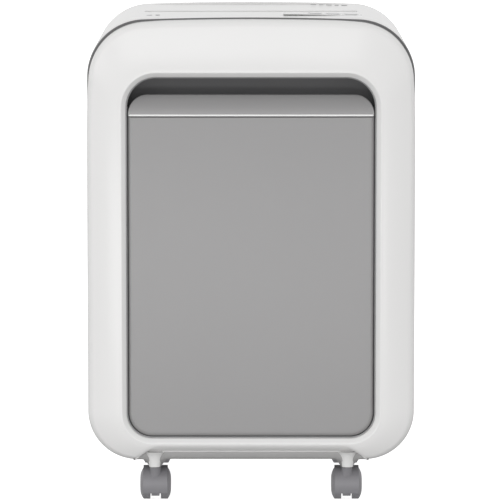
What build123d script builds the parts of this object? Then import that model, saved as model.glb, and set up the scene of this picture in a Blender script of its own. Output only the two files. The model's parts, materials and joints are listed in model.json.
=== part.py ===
"""Free-standing office paper shredder with a pull-out bin, in millimetres.

+Z is up, -Y is the front, and the origin is on the floor under the middle of the
casing. The casing is a white front fascia, two side panels, a top cover, a rear panel
and a base tray on four twin-wheel casters. A grey bin slides out of the fascia's
mouth. The head under the top cover holds two meshing stacks of toothed discs, driven
by a motor through three stages of gears.
"""

import math
import os

from build123d import *

# ---- casing: driving dimensions -------------------------------------------------
width = 362.0  # side to side
depth = 318.0  # front to back
height = 542.5  # floor to the crown of the top cover
wall = 2.8  # moulded casing wall
seam = 0.4  # gap between neighbouring casing shells
running_gap = 0.05  # radial clearance of a shaft in its bearing
slip = 0.5  # clearance between sliding parts
crown_radius = 3400.0  # the top is a very shallow arc across the width
top_corner = 64.0  # radius of the casing's upper corners
bottom_corner = 55.0  # radius of the casing's lower corners
shell_depth = 30.0  # front-to-back depth of the fascia and of the rear panel
slope_depth = 19.0  # how far the fascia's face falls back from its ridge
rear_round = 10.0  # rounding of the rear panel's edge
head_split = height - 70.0  # height of the joint between side panels and top cover

# ---- base and casters -------------------------------------------------------------
wheel_radius = 17.7
wheel_tread = 7.5  # width of one wheel's flat tread
wheel_dome = 3.7  # how far a wheel's outer face bulges
wheel_gap = 12.0  # distance between the two wheels of one caster
hood_gap = 0.8  # clearance between hood and wheels
hood_wall = 1.7
stem_radius = 4.0
axle_radius = 2.0
caster_trail = 12.0  # axle behind the swivel axis
caster_x = width / 2 - 74.0
caster_y = depth / 2 - 45.0
rear_caster_x = caster_x + 4.0  # the rear pair stands a little wider
stem_length = 33.0
swivel_gap = 0.5
boss_drop = 10.0  # height of the tapered boss under the base
base_wall = 3.0
base_lip = 2.6  # how far the base hangs below the casing
base_height = 10.4
arch_rise = 9.4  # how far the fascia is cut away between its lower corners
arch_half = width / 2 - 64.0

hood_radius = wheel_radius + hood_gap + hood_wall
hood_top = wheel_radius + hood_radius + seam
boss_bottom = hood_top + swivel_gap
base_bottom = boss_bottom + boss_drop
body_bottom = base_bottom + base_lip
floor_top = base_bottom + base_wall

front_y = -depth / 2
back_y = depth / 2
fascia_back = front_y + shell_depth
rear_front = back_y - shell_depth
half_width = width / 2

# ---- mouth of the fascia and the bin in it -------------------------------------------
mouth_half = half_width - 43.5
mouth_drop = 64.5  # crown of the cover to the top of the mouth
mouth_rise = 25.7  # casing's lower edge to the bottom of the mouth
mouth_top_corner = 33.0
mouth_bottom_corner = 28.0
bevel = 6.0  # width and depth of the bevel round the mouth
lip = 4.0  # straight lip behind the bevel
liner_wall = 2.5
liner_depth = 36.0
mouth_top = height - mouth_drop
mouth_bottom = body_bottom + mouth_rise

door_gap = 2.3  # reveal round the bin's front panel
door_recess = 6.0  # panel's face behind the ridge
door_depth = 14.0
door_wall = 2.5
door_corner = 21.0
grip_height = 24.5
grip_lean = 12.0  # how far the grip's top leans back
finger_gap = 20.0  # open height above the bin's front
door_half = mouth_half - door_gap
door_top = mouth_top - finger_gap
door_bottom = mouth_bottom + door_gap
door_front = front_y + door_recess
door_back = door_front + door_depth
grip_bottom = door_top - grip_height

tub_half = door_half - 6.2
tub_back = back_y - 47.0
tub_wall = 2.2
tub_corner = 18.0
tub_rim = 4.0
tub_top = door_top - 26.0
skid_height = 3.0
rail_x = tub_half - 39.0
rail_width = 8.0
tub_bottom = door_bottom + 2.5
bin_travel = 270.0

# ---- head ---------------------------------------------------------------------------
deck_bottom = height - 98.0
deck_thick = 3.0
deck_top = deck_bottom + deck_thick
slot_length = 230.0
plate_x = slot_length / 2 + 7.0  # inner face of the side plates
plate_thick = 3.0
plate_height = 80.0
cutter_z = height - 60.0
cutter_pitch = 8.0
disc_width = cutter_pitch / 2 - 0.3
disc_count = int((slot_length - 6.0) / cutter_pitch)
disc_radius = 19.5
disc_notch = 2.6
disc_teeth = 8
spacer_radius = 12.5
hex_flat = 18.0
journal_radius = 8.0
bush_radius = 12.0
slot_width = 6.0
slot_mouth = 14.0
slot_wall = 2.8

# ---- gear train: teeth, module --------------------------------------------------------
sync_teeth, sync_module = 17, 2.0
drive_teeth, small_two_teeth, two_module = 40, 12, 1.5
large_two_teeth, small_one_teeth, one_module = 40, 12, 1.25
large_one_teeth, pinion_teeth, pinion_module = 50, 10, 0.8
backlash = 0.24
gear_face = 8.0
motor_radius = 30.0
motor_length = 92.0

shaft_gap = sync_teeth * sync_module  # distance between the two cutter shafts


# ==== helpers ===========================================================================
def front_plane(y):
    """Plane facing the front at depth y: local x is X, local y is Z."""
    return Plane.XZ.offset(-y)


def side_plane(x):
    """Plane facing +X at x: local x is Y, local y is Z."""
    return Plane.YZ.offset(x)


def level(z):
    """Horizontal plane at height z."""
    return Plane.XY.offset(z)


def crown(x, inset=0.0):
    """Height of the cover's crowned top at x."""
    r = crown_radius - inset
    return height - inset - (r - math.sqrt(r * r - x * x))


def casing_outline(plane, inset=0.0):
    """The casing seen from the front, drawn in by inset."""
    half = half_width - inset
    low = body_bottom + inset
    with BuildSketch(plane) as face:
        with BuildLine():
            Polyline((half, crown(half, inset)), (half, low), (-half, low), (-half, crown(half, inset)))
            ThreePointArc((-half, crown(half, inset)), (0, height - inset), (half, crown(half, inset)))
        make_face()
        fillet(face.vertices().group_by(Axis.Y)[-1], top_corner - inset)
        fillet(face.vertices().group_by(Axis.Y)[0], bottom_corner - inset)
    return face.sketch


def mouth_outline(plane, outset=0.0):
    """The fascia's mouth, grown by outset."""
    with BuildSketch(plane) as face:
        with Locations((0, (mouth_top + mouth_bottom) / 2)):
            Rectangle(2 * (mouth_half + outset), mouth_top - mouth_bottom + 2 * outset)
        fillet(face.vertices().group_by(Axis.Y)[-1], mouth_top_corner + outset)
        fillet(face.vertices().group_by(Axis.Y)[0], mouth_bottom_corner + outset)
    return face.sketch


def door_outline(plane, inset=0.0):
    """The bin's front panel seen from the front, drawn in by inset."""
    with BuildSketch(plane) as face:
        with Locations((0, (door_top + door_bottom) / 2)):
            Rectangle(2 * (door_half - inset), door_top - door_bottom - 2 * inset)
        fillet(face.vertices().group_by(Axis.Y)[-1], door_corner - inset)
        fillet(face.vertices().group_by(Axis.Y)[0], mouth_bottom_corner - door_gap - inset)
    return face.sketch


def window(plane, x0, x1, y0, y1):
    """A rectangle between local corners on a plane."""
    with BuildSketch(plane) as face:
        with Locations(((x0 + x1) / 2, (y0 + y1) / 2)):
            Rectangle(x1 - x0, y1 - y0)
    return face.sketch


def disc(plane, x, y, radius):
    """A circle at a local point on a plane."""
    with BuildSketch(plane) as face:
        with Locations((x, y)):
            Circle(radius)
    return face.sketch


def polygon(plane, points):
    """A closed outline through local points on a plane."""
    with BuildSketch(plane) as face:
        with BuildLine():
            Polyline(*points, close=True)
        make_face()
    return face.sketch


def write(piece, name):
    """Names a finished piece and writes it as one STEP file."""
    piece.part.label = name
    export_step(piece.part, f"parts/{name}.step")


os.makedirs("parts", exist_ok=True)

# ==== front fascia ========================================================================
# Faces of the fascia from back to front: straight side, a soft turn, then the slope to the ridge.
turn_y = front_y + slope_depth
slope_y = front_y + 0.58 * slope_depth
turn_inset = 3.0
pocket_floor = body_bottom + arch_rise + wall

with BuildPart() as fascia_pocket:
    extrude(casing_outline(front_plane(fascia_back), wall), amount=shell_depth - slope_depth)
    loft([casing_outline(front_plane(turn_y), wall), casing_outline(front_plane(slope_y), wall + turn_inset)])
    loft(
        [
            casing_outline(front_plane(slope_y), wall + turn_inset),
            mouth_outline(front_plane(front_y + 2 * wall), bevel + wall),
        ],
        ruled=True,
    )
    extrude(mouth_outline(front_plane(front_y + bevel + lip), wall), amount=bevel + lip, mode=Mode.SUBTRACT)
    extrude(
        window(front_plane(fascia_back), -arch_half - bevel, arch_half + bevel, body_bottom, pocket_floor),
        amount=shell_depth,
        mode=Mode.SUBTRACT,
    )

with BuildPart() as front_fascia:
    extrude(casing_outline(front_plane(fascia_back)), amount=shell_depth - slope_depth)
    loft([casing_outline(front_plane(turn_y)), casing_outline(front_plane(slope_y), turn_inset)])
    loft(
        [casing_outline(front_plane(slope_y), turn_inset), mouth_outline(front_plane(front_y), bevel)],
        ruled=True,
    )
    add(fascia_pocket.part, mode=Mode.SUBTRACT)
    extrude(mouth_outline(front_plane(fascia_back)), amount=shell_depth, mode=Mode.SUBTRACT)
    loft(
        [mouth_outline(front_plane(front_y + bevel)), mouth_outline(front_plane(front_y), bevel)],
        ruled=True,
        mode=Mode.SUBTRACT,
    )
    extrude(
        mouth_outline(front_plane(fascia_back), liner_wall + wall),
        amount=shell_depth - bevel - lip,
        mode=Mode.SUBTRACT,
    )
    with BuildSketch(front_plane(fascia_back)) as arch:
        with BuildLine():
            Polyline(
                (-arch_half - 1.4 * arch_rise, body_bottom - 1),
                (-arch_half, body_bottom + arch_rise),
                (arch_half, body_bottom + arch_rise),
                (arch_half + 1.4 * arch_rise, body_bottom - 1),
                close=True,
            )
        make_face()
        fillet(arch.vertices().group_by(Axis.Y)[-1], arch_rise)
    extrude(arch.sketch, amount=shell_depth, mode=Mode.SUBTRACT)
write(front_fascia, "front_fascia")

# ==== dark liner behind the mouth: a sleeve with a scooped back wall above the bin ============
liner_front = front_y + bevel + lip + seam
liner_back = liner_front + liner_depth
scoop_bottom = deck_bottom - 2.0

with BuildPart() as bin_mouth_liner:
    extrude(mouth_outline(front_plane(liner_back), liner_wall), amount=liner_depth)
    extrude(mouth_outline(front_plane(liner_back)), amount=liner_depth, mode=Mode.SUBTRACT)
    extrude(mouth_outline(front_plane(liner_back), liner_wall), amount=liner_wall)
    extrude(
        window(front_plane(liner_back), -half_width, half_width, 0, scoop_bottom),
        amount=liner_wall,
        mode=Mode.SUBTRACT,
    )
    # The sleeve's sides run on below the scoop, so they are put back as a thin frame.
    extrude(mouth_outline(front_plane(liner_back), liner_wall), amount=liner_wall)
    extrude(
        window(front_plane(liner_back), -mouth_half, mouth_half, mouth_bottom, scoop_bottom),
        amount=liner_wall,
        mode=Mode.SUBTRACT,
    )
write(bin_mouth_liner, "bin_mouth_liner")

# ==== side panels ==========================================================================
panel_depth = rear_front - fascia_back - 2 * seam
boss_x = half_width - 14.0
screw_heights = (body_bottom + 58.6, height / 2, head_split - 42.5)
screw_radius = 1.8
boss_radius = 6.0
boss_length = 20.0
rib_depth = 8.0

for side, name in ((-1, "left_side_panel"), (1, "right_side_panel")):
    near, far = half_width - bottom_corner, half_width + 1
    with BuildPart() as panel:
        extrude(casing_outline(front_plane(rear_front - seam)), amount=panel_depth)
        extrude(
            casing_outline(front_plane(rear_front - seam), wall), amount=panel_depth, mode=Mode.SUBTRACT
        )
        keep = window(
            front_plane(rear_front - seam), *sorted((side * near, side * far)), 0, head_split - seam / 2
        )
        extrude(keep, amount=panel_depth, mode=Mode.INTERSECT)
        for z in screw_heights:
            # A boss for the rear screw, and a stiffening rib from it to the front.
            extrude(disc(front_plane(rear_front - seam), side * boss_x, z, boss_radius), amount=boss_length)
            rib = window(
                front_plane(rear_front - seam),
                *sorted((side * (boss_x - 1), side * (half_width - wall / 2))),
                z - 1.2,
                z + 1.2,
            )
            extrude(rib, amount=panel_depth - boss_length)
            extrude(
                disc(front_plane(rear_front - seam), side * boss_x, z, screw_radius),
                amount=boss_length - 4,
                mode=Mode.SUBTRACT,
            )
    write(panel, name)

# ==== rear panel ===========================================================================
gland_radius = 4.5
gland_wall = 4.0
gland_length = 16.0
gland_x, gland_z = half_width - 61.0, body_bottom + 56.6
rocker_x, rocker_z = -gland_x, gland_z
rocker_half_width, rocker_half_height = 6.5, 10.0
rocker_frame = 2.5
vent_width, vent_height, vent_pitch, vent_rows = 64.0, 3.2, 8.0, 9
head_bore = 4.6
head_sink = 7.0
flat_back = back_y

with BuildPart() as rear_panel:
    extrude(casing_outline(front_plane(back_y - rear_round)), amount=shell_depth - rear_round)
    loft(
        [
            casing_outline(front_plane(back_y - rear_round)),
            casing_outline(front_plane(back_y - 0.35 * rear_round), 0.22 * rear_round),
        ],
        ruled=True,
    )
    loft(
        [
            casing_outline(front_plane(back_y - 0.35 * rear_round), 0.22 * rear_round),
            casing_outline(front_plane(back_y), 0.9 * rear_round),
        ],
        ruled=True,
    )
    extrude(
        casing_outline(front_plane(back_y - rear_round), wall),
        amount=shell_depth,
        mode=Mode.SUBTRACT,
    )
    loft(
        [
            casing_outline(front_plane(back_y - rear_round), wall),
            casing_outline(front_plane(back_y - wall), 0.9 * rear_round + wall),
        ],
        ruled=True,
        mode=Mode.SUBTRACT,
    )
    for side in (-1, 1):
        for z in screw_heights:
            extrude(disc(front_plane(back_y - wall / 2), side * boss_x, z, boss_radius + 1), amount=shell_depth - 3)
            extrude(
                disc(front_plane(back_y), side * boss_x, z, screw_radius + 0.2),
                amount=shell_depth,
                mode=Mode.SUBTRACT,
            )
            extrude(
                disc(front_plane(back_y), side * boss_x, z, head_bore), amount=head_sink, mode=Mode.SUBTRACT
            )
    for column in (-1, 1):
        for row in range(vent_rows):
            z = cutter_z + (row - (vent_rows - 1) / 2) * vent_pitch
            with BuildSketch(front_plane(back_y + 1)) as louvre:
                with Locations((column * (vent_width / 2 + 8), z)):
                    SlotOverall(vent_width, vent_height)
            extrude(louvre.sketch, amount=2 * wall, mode=Mode.SUBTRACT)
    extrude(
        disc(front_plane(back_y + 1), gland_x, gland_z, gland_radius + gland_wall / 2),
        amount=2 * wall,
        mode=Mode.SUBTRACT,
    )
    extrude(
        window(
            front_plane(back_y + 1),
            rocker_x - rocker_half_width - rocker_frame,
            rocker_x + rocker_half_width + rocker_frame,
            rocker_z - rocker_half_height - rocker_frame,
            rocker_z + rocker_half_height + rocker_frame,
        ),
        amount=2 * wall,
        mode=Mode.SUBTRACT,
    )
write(rear_panel, "rear_panel")

screw_head = 3.2
with BuildPart() as rear_screws:
    for side in (-1, 1):
        for z in screw_heights:
            seat = back_y - head_sink
            extrude(disc(front_plane(seat + screw_head), side * boss_x, z, head_bore - 0.4), amount=screw_head)
            extrude(disc(front_plane(seat), side * boss_x, z, screw_radius), amount=shell_depth + seam)
            extrude(
                window(
                    front_plane(seat + screw_head), side * boss_x - 2.6, side * boss_x + 2.6, z - 0.5, z + 0.5
                ),
                amount=1.4,
                mode=Mode.SUBTRACT,
            )
            extrude(
                window(
                    front_plane(seat + screw_head), side * boss_x - 0.5, side * boss_x + 0.5, z - 2.6, z + 2.6
                ),
                amount=1.4,
                mode=Mode.SUBTRACT,
            )
write(rear_screws, "rear_screws")

with BuildPart() as cord_gland:
    extrude(disc(front_plane(back_y - 0.4), gland_x, gland_z, gland_radius + gland_wall / 2), amount=gland_length)
    extrude(
        disc(front_plane(back_y - wall), gland_x, gland_z, gland_radius + gland_wall),
        amount=gland_length - wall,
    )
    extrude(disc(front_plane(back_y), gland_x, gland_z, gland_radius), amount=2 * gland_length, mode=Mode.SUBTRACT)
write(cord_gland, "cord_gland")

rocker_pivot_y = back_y - 5.5
rocker_tilt = 10.0
with BuildPart() as rocker_switch_frame:
    extrude(
        window(
            front_plane(back_y - 0.4),
            rocker_x - rocker_half_width - rocker_frame,
            rocker_x + rocker_half_width + rocker_frame,
            rocker_z - rocker_half_height - rocker_frame,
            rocker_z + rocker_half_height + rocker_frame,
        ),
        amount=22,
    )
    extrude(
        window(
            front_plane(back_y),
            rocker_x - rocker_half_width,
            rocker_x + rocker_half_width,
            rocker_z - rocker_half_height,
            rocker_z + rocker_half_height,
        ),
        amount=16,
        mode=Mode.SUBTRACT,
    )
write(rocker_switch_frame, "rocker_switch_frame")

with BuildPart() as rocker_switch:
    # A shallow V seen from the side, built level and then tilted about its pivot.
    rocker_face = polygon(
        side_plane(rocker_x - rocker_half_width + slip),
        [
            (back_y - 11.0, rocker_z - 5.0),
            (back_y - 11.0, rocker_z + 5.0),
            (back_y - 6.0, rocker_z + 9.2),
            (back_y - 2.2, rocker_z + 9.2),
            (back_y - 4.0, rocker_z),
            (back_y - 2.2, rocker_z - 9.2),
            (back_y - 6.0, rocker_z - 9.2),
        ],
    )
    extrude(rocker_face, amount=2 * (rocker_half_width - slip))
rocker_axis = Axis((rocker_x, rocker_pivot_y, rocker_z), (1, 0, 0))
rocker_switch.part = rocker_switch.part.rotate(rocker_axis, rocker_tilt)
write(rocker_switch, "rocker_switch")

# ==== base tray ============================================================================
tray_front = -caster_y - 8.0
tray_back = rear_front - 2.0
tray_half = half_width - bottom_corner - 1.0
ledge_front = front_y + 11.0
ledge_half = arch_half - 5.0
boss_top_radius = 13.5
flange_top = floor_top + base_height - base_wall
socket_depth = stem_length - 11.0
caster_spots = {
    "front_left": (-caster_x, -caster_y),
    "front_right": (caster_x, -caster_y),
    "rear_left": (-rear_caster_x, caster_y),
    "rear_right": (rear_caster_x, caster_y),
}


def tray_plan(z, inset=0.0):
    """The tray seen from above, drawn in by inset."""
    side, near, far = tray_half - inset, tray_front + inset, tray_back - inset
    return window(level(z), -side, side, near, far)


with BuildPart() as base_tray:
    extrude(tray_plan(base_bottom), amount=base_height)
    for x, y in caster_spots.values():
        # A tapered boss under each corner that runs up into the tray's wall.
        loft([disc(level(boss_bottom), x, y, 6.4), disc(level(base_bottom), x, y, boss_top_radius)])
        extrude(disc(level(base_bottom), x, y, boss_top_radius), amount=base_height)
    extrude(tray_plan(floor_top, base_wall), amount=base_height, mode=Mode.SUBTRACT)
    for x, y in caster_spots.values():
        extrude(disc(level(base_bottom), x, y, 9.0), amount=stem_length - boss_drop - 4)
        extrude(
            disc(level(boss_bottom), x, y, stem_radius + running_gap), amount=socket_depth, mode=Mode.SUBTRACT
        )
    for side in (-1, 1):
        flange = window(
            level(flange_top - base_wall),
            *sorted((side * (tray_half - base_wall), side * (tray_half + 10.0))),
            fascia_back + seam,
            tray_back,
        )
        extrude(flange, amount=base_wall)
    # A ledge closes the gap under the fascia's raised edge, with three locating tabs below it.
    extrude(window(level(flange_top - base_wall), -ledge_half, ledge_half, ledge_front, tray_front + 1), amount=base_wall)
    for x in (-82.0, 0.0, 82.0):
        extrude(window(level(base_bottom + 1.5), x - 3.5, x + 3.5, tray_front - 1.2, tray_front), amount=3.0)
write(base_tray, "base_tray")

# Rails carry the bin: an I-shaped bar each side, standing on the tray's floor.
rail_top = tub_bottom - skid_height - slip
with BuildPart() as bin_rails:
    for x in (-rail_x, rail_x):
        rail_section = [
            (x - rail_width, floor_top),
            (x + rail_width, floor_top),
            (x + rail_width, floor_top + 2.5),
            (x + 1.5, floor_top + 2.5),
            (x + 1.5, rail_top - 2.5),
            (x + rail_width / 2, rail_top - 2.5),
            (x + rail_width / 2, rail_top),
            (x - rail_width / 2, rail_top),
            (x - rail_width / 2, rail_top - 2.5),
            (x - 1.5, rail_top - 2.5),
            (x - 1.5, floor_top + 2.5),
            (x - rail_width, floor_top + 2.5),
        ]
        extrude(polygon(front_plane(caster_y - 20), rail_section), amount=2 * (caster_y - 20))
write(bin_rails, "bin_rails")

# ==== casters ==============================================================================
for name, (x, y) in caster_spots.items():
    axle_y = y + caster_trail
    hood_inner = wheel_radius + hood_gap
    cover_half = wheel_gap / 2 + wheel_tread
    web_half = wheel_gap / 2 - 1.5
    with BuildPart() as hood:
        # Fender over both wheels, then the web between them, then the stem's boss.
        extrude(disc(side_plane(x - cover_half), axle_y, wheel_radius, hood_radius), amount=2 * cover_half)
        extrude(
            disc(side_plane(x - cover_half), axle_y, wheel_radius, hood_inner),
            amount=2 * cover_half,
            mode=Mode.SUBTRACT,
        )
        low_front = window(side_plane(x - cover_half), axle_y - 30, axle_y, -9.0, 9.0)
        low_back = window(side_plane(x - cover_half), axle_y, axle_y + 30, -9.0, wheel_radius + 6.0)
        extrude(low_front, amount=2 * cover_half, mode=Mode.SUBTRACT)
        extrude(low_back, amount=2 * cover_half, mode=Mode.SUBTRACT)
        extrude(disc(side_plane(x - web_half), axle_y, wheel_radius, hood_inner + 0.5), amount=2 * web_half)
        extrude(
            window(side_plane(x - web_half), axle_y - 30, axle_y + 30, -5, 5.7),
            amount=2 * web_half,
            mode=Mode.SUBTRACT,
        )
        extrude(disc(level(hood_top - 11.0), x, y, 6.2), amount=11.0)
        for side in (-1, 1):
            inner = x + side * (wheel_gap / 2 - 1.0)
            outer = x + side * (cover_half + 1)
            start = min(inner, outer)
            extrude(
                disc(side_plane(start), axle_y, wheel_radius, hood_inner),
                amount=abs(outer - inner),
                mode=Mode.SUBTRACT,
            )
        extrude(disc(level(hood_top - 14.0), x, y, stem_radius), amount=14.0, mode=Mode.SUBTRACT)
        extrude(disc(side_plane(x - 20), axle_y, wheel_radius, axle_radius), amount=40, mode=Mode.SUBTRACT)
    with BuildPart() as stem:
        extrude(disc(level(hood_top - 14.0), x, y, stem_radius), amount=stem_length)
    with BuildPart() as axle:
        half_axle = cover_half + 1.0
        extrude(disc(side_plane(x - half_axle), axle_y, wheel_radius, axle_radius), amount=2 * half_axle)
    with BuildPart() as caster_hood:
        add(hood.part)
    caster_hood.part = Compound(children=[hood.part.solid(), stem.part.solid(), axle.part.solid()])
    write(caster_hood, f"{name}_caster_hood")
    for side, which in ((-1, "left"), (1, "right")):
        face_in, face_out = wheel_gap / 2, cover_half
        bore = axle_radius + running_gap
        with BuildPart() as wheel:
            with BuildSketch(Plane.XZ) as section:
                with BuildLine():
                    Polyline(
                        (face_out + wheel_dome - 1.5, 0),
                        (face_in, 0),
                        (face_in, wheel_radius),
                        (face_out, wheel_radius),
                    )
                    Spline(
                        (face_out, wheel_radius),
                        (face_out + 0.72 * wheel_dome, 0.72 * wheel_radius),
                        (face_out + wheel_dome, 0.35 * wheel_radius),
                    )
                    Polyline(
                        (face_out + wheel_dome, 0.35 * wheel_radius),
                        (face_out + wheel_dome, 0.3 * wheel_radius),
                        (face_out + wheel_dome - 1.5, 0.3 * wheel_radius),
                        (face_out + wheel_dome - 1.5, 0),
                    )
                make_face()
            revolve(section.sketch, Axis.X)
            extrude(disc(side_plane(face_in - 1), 0, 0, bore), amount=cover_half - face_in + 2.2, mode=Mode.SUBTRACT)
        placed = wheel.part if side > 0 else wheel.part.mirror(Plane.YZ)
        wheel.part = placed.moved(Location((x, axle_y, wheel_radius)))
        write(wheel, f"{name}_caster_{which}_wheel")

# ==== bin ==================================================================================


def tub_profile(plane, inset=0.0):
    """The tub's section seen from the front: square above, rounded along the bottom."""
    with BuildSketch(plane) as face:
        with Locations((0, (tub_bottom + tub_top + tub_corner) / 2 + inset / 2)):
            Rectangle(2 * (tub_half - inset), tub_top + tub_corner - tub_bottom - inset)
        fillet(face.vertices().group_by(Axis.Y)[0], mouth_bottom_corner - inset)
    return face.sketch


tub_front = door_back + seam
tub_mid = (tub_front + tub_back) / 2
with BuildPart() as tub_hollow:
    with BuildSketch(level(tub_bottom + tub_wall)) as hollow:
        with Locations((0, tub_mid)):
            RectangleRounded(
                2 * (tub_half - tub_wall), tub_back - tub_front - 2 * tub_wall, tub_corner - tub_wall
            )
    extrude(hollow.sketch, amount=tub_top)
    extrude(tub_profile(front_plane(tub_back), tub_wall), amount=depth, mode=Mode.INTERSECT)

with BuildPart() as bin_tub:
    with BuildSketch(level(tub_bottom)) as footprint:
        with Locations((0, tub_mid)):
            RectangleRounded(2 * tub_half, tub_back - tub_front, tub_corner)
    extrude(footprint.sketch, amount=tub_top - tub_bottom)
    extrude(tub_profile(front_plane(tub_back)), amount=depth, mode=Mode.INTERSECT)
    add(tub_hollow.part, mode=Mode.SUBTRACT)
    with BuildSketch(level(tub_top - 3.0)) as rim:
        with Locations((0, tub_mid)):
            RectangleRounded(
                2 * (tub_half + tub_rim), tub_back - tub_front, tub_corner + tub_rim
            )
            RectangleRounded(
                2 * (tub_half - tub_wall),
                tub_back - tub_front - 2 * tub_wall,
                tub_corner - tub_wall,
                mode=Mode.SUBTRACT,
            )
    extrude(rim.sketch, amount=3.0)
    for x in (-rail_x, rail_x):
        skid = window(level(tub_bottom - skid_height), x - 3, x + 3, tub_front + 6, tub_back - 12)
        extrude(skid, amount=skid_height)
write(bin_tub, "bin_tub")

bead = 1.0
groove = 1.2
with BuildPart() as bin_front_panel:
    extrude(door_outline(front_plane(door_back)), amount=door_depth)
    chamfer(bin_front_panel.faces().sort_by(Axis.Y)[0].edges(), 1.2)
    extrude(door_outline(front_plane(door_back), door_wall), amount=door_depth - door_wall, mode=Mode.SUBTRACT)
    # Everything above the grip's lower edge belongs to the grip trim.
    extrude(
        window(front_plane(door_back), -half_width, half_width, grip_bottom, height),
        amount=2 * door_depth,
        mode=Mode.SUBTRACT,
    )
    extrude(
        window(front_plane(door_back - 4), -half_width, half_width, grip_bottom - door_wall, grip_bottom),
        amount=0.01,
        mode=Mode.SUBTRACT,
    )
write(bin_front_panel, "bin_front_panel")

with BuildPart() as bin_grip_trim:
    extrude(door_outline(front_plane(door_back)), amount=2 * door_depth)
    with BuildSketch(side_plane(-door_half)) as grip_section:
        with BuildLine():
            top_front = (door_front + grip_lean - 1.5, door_top)
            low_front = (door_front - bead, grip_bottom + groove)
            Polyline(
                top_front,
                (door_back, door_top),
                (door_back, grip_bottom + 0.1),
                (door_front + door_wall, grip_bottom + 0.1),
                (door_front + groove, grip_bottom + groove),
                low_front,
                (door_front - bead, grip_bottom + groove + 1.6),
            )
            ThreePointArc(
                (door_front - bead, grip_bottom + groove + 1.6),
                (door_front + 0.42 * grip_lean, grip_bottom + 0.42 * grip_height),
                top_front,
            )
        make_face()
    extrude(grip_section.sketch, amount=2 * door_half, mode=Mode.INTERSECT)
    trim_hollow = [
        (door_back, grip_bottom - 1),
        (door_back, door_top - 4.0),
        (door_back - 2.6, door_top - 4.0),
        (door_front + 0.5 * grip_lean + 1.2, grip_bottom + 0.42 * grip_height),
        (door_front + door_wall + 0.5, grip_bottom + groove + 3.0),
        (door_front + door_wall + 0.5, grip_bottom - 1),
    ]
    extrude(
        polygon(side_plane(-door_half + 3 * door_wall), trim_hollow),
        amount=2 * (door_half - 3 * door_wall),
        mode=Mode.SUBTRACT,
    )
write(bin_grip_trim, "bin_grip_trim")

# ==== top cover, throat and controls =========================================================
cover_depth = rear_front - fascia_back - 2 * seam
guide_half = slot_length / 2 + slot_wall + 2.0
guide_deep = slot_mouth / 2 + slot_wall
guide_top = crown(guide_half) - 0.6
guide_bottom = cutter_z + disc_radius + 3.5
panel_x0, panel_x1 = 36.0, 124.0
panel_y0, panel_y1 = -74.0, -48.0
overlay_thick = 0.8
key_x = {"power_key": 72.0, "reverse_key": 92.0, "forward_key": 112.0}
key_y = -61.0
key_half_x, key_half_y = 6.5, 4.5
key_gap = 0.35
key_proud = 0.6
key_travel = 0.8
key_flange = 1.5
light_x = (44.0, 50.5, 57.0)
light_radius = 1.4
board_top = height - 16.0
board_thick = 1.6
tact_height = 4.0

with BuildPart() as top_cover:
    extrude(casing_outline(front_plane(rear_front - seam)), amount=cover_depth)
    extrude(casing_outline(front_plane(rear_front - seam), wall), amount=cover_depth, mode=Mode.SUBTRACT)
    extrude(
        window(front_plane(rear_front - seam), -half_width, half_width, head_split + seam / 2, height + 1),
        amount=cover_depth,
        mode=Mode.INTERSECT,
    )
    extrude(
        window(
            level(height - 20), -guide_half - seam / 2, guide_half + seam / 2, -guide_deep - seam / 2,
            guide_deep + seam / 2,
        ),
        amount=30,
        mode=Mode.SUBTRACT,
    )
    overlay_cut = extrude(
        window(level(height - 20), panel_x0, panel_x1, panel_y0, panel_y1), amount=30, mode=Mode.PRIVATE
    )
    under_overlay = extrude(
        casing_outline(front_plane(rear_front), overlay_thick), amount=shell_depth + depth, mode=Mode.PRIVATE
    )
    add(overlay_cut - under_overlay, mode=Mode.SUBTRACT)
    for x in key_x.values():
        extrude(
            window(
                level(height - 20),
                x - key_half_x - key_gap,
                x + key_half_x + key_gap,
                key_y - key_half_y - key_gap,
                key_y + key_half_y + key_gap,
            ),
            amount=30,
            mode=Mode.SUBTRACT,
        )
    for x in light_x:
        extrude(disc(level(height - 20), x, key_y, light_radius), amount=30, mode=Mode.SUBTRACT)
    # Four posts that the control board is screwed to.
    for x in (panel_x0 + 4, panel_x1 - 4):
        for y in (panel_y0 + 3, panel_y1 - 3):
            extrude(disc(level(board_top), x, y, 2.2), amount=crown(x) - wall + 0.6 - board_top)
write(top_cover, "top_cover")

with BuildPart() as control_overlay:
    extrude(casing_outline(front_plane(panel_y1 - 0.15)), amount=panel_y1 - panel_y0 - 0.3)
    extrude(casing_outline(front_plane(panel_y1), overlay_thick), amount=panel_y1 - panel_y0, mode=Mode.SUBTRACT)
    extrude(
        window(front_plane(panel_y1), panel_x0 + 0.15, panel_x1 - 0.15, height - 20, height + 1),
        amount=panel_y1 - panel_y0,
        mode=Mode.INTERSECT,
    )
    for x in key_x.values():
        extrude(
            window(
                level(height - 20),
                x - key_half_x - key_gap,
                x + key_half_x + key_gap,
                key_y - key_half_y - key_gap,
                key_y + key_half_y + key_gap,
            ),
            amount=30,
            mode=Mode.SUBTRACT,
        )
    for x in light_x:
        extrude(disc(level(height - 20), x, key_y, light_radius), amount=30, mode=Mode.SUBTRACT)
write(control_overlay, "control_overlay")

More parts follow.
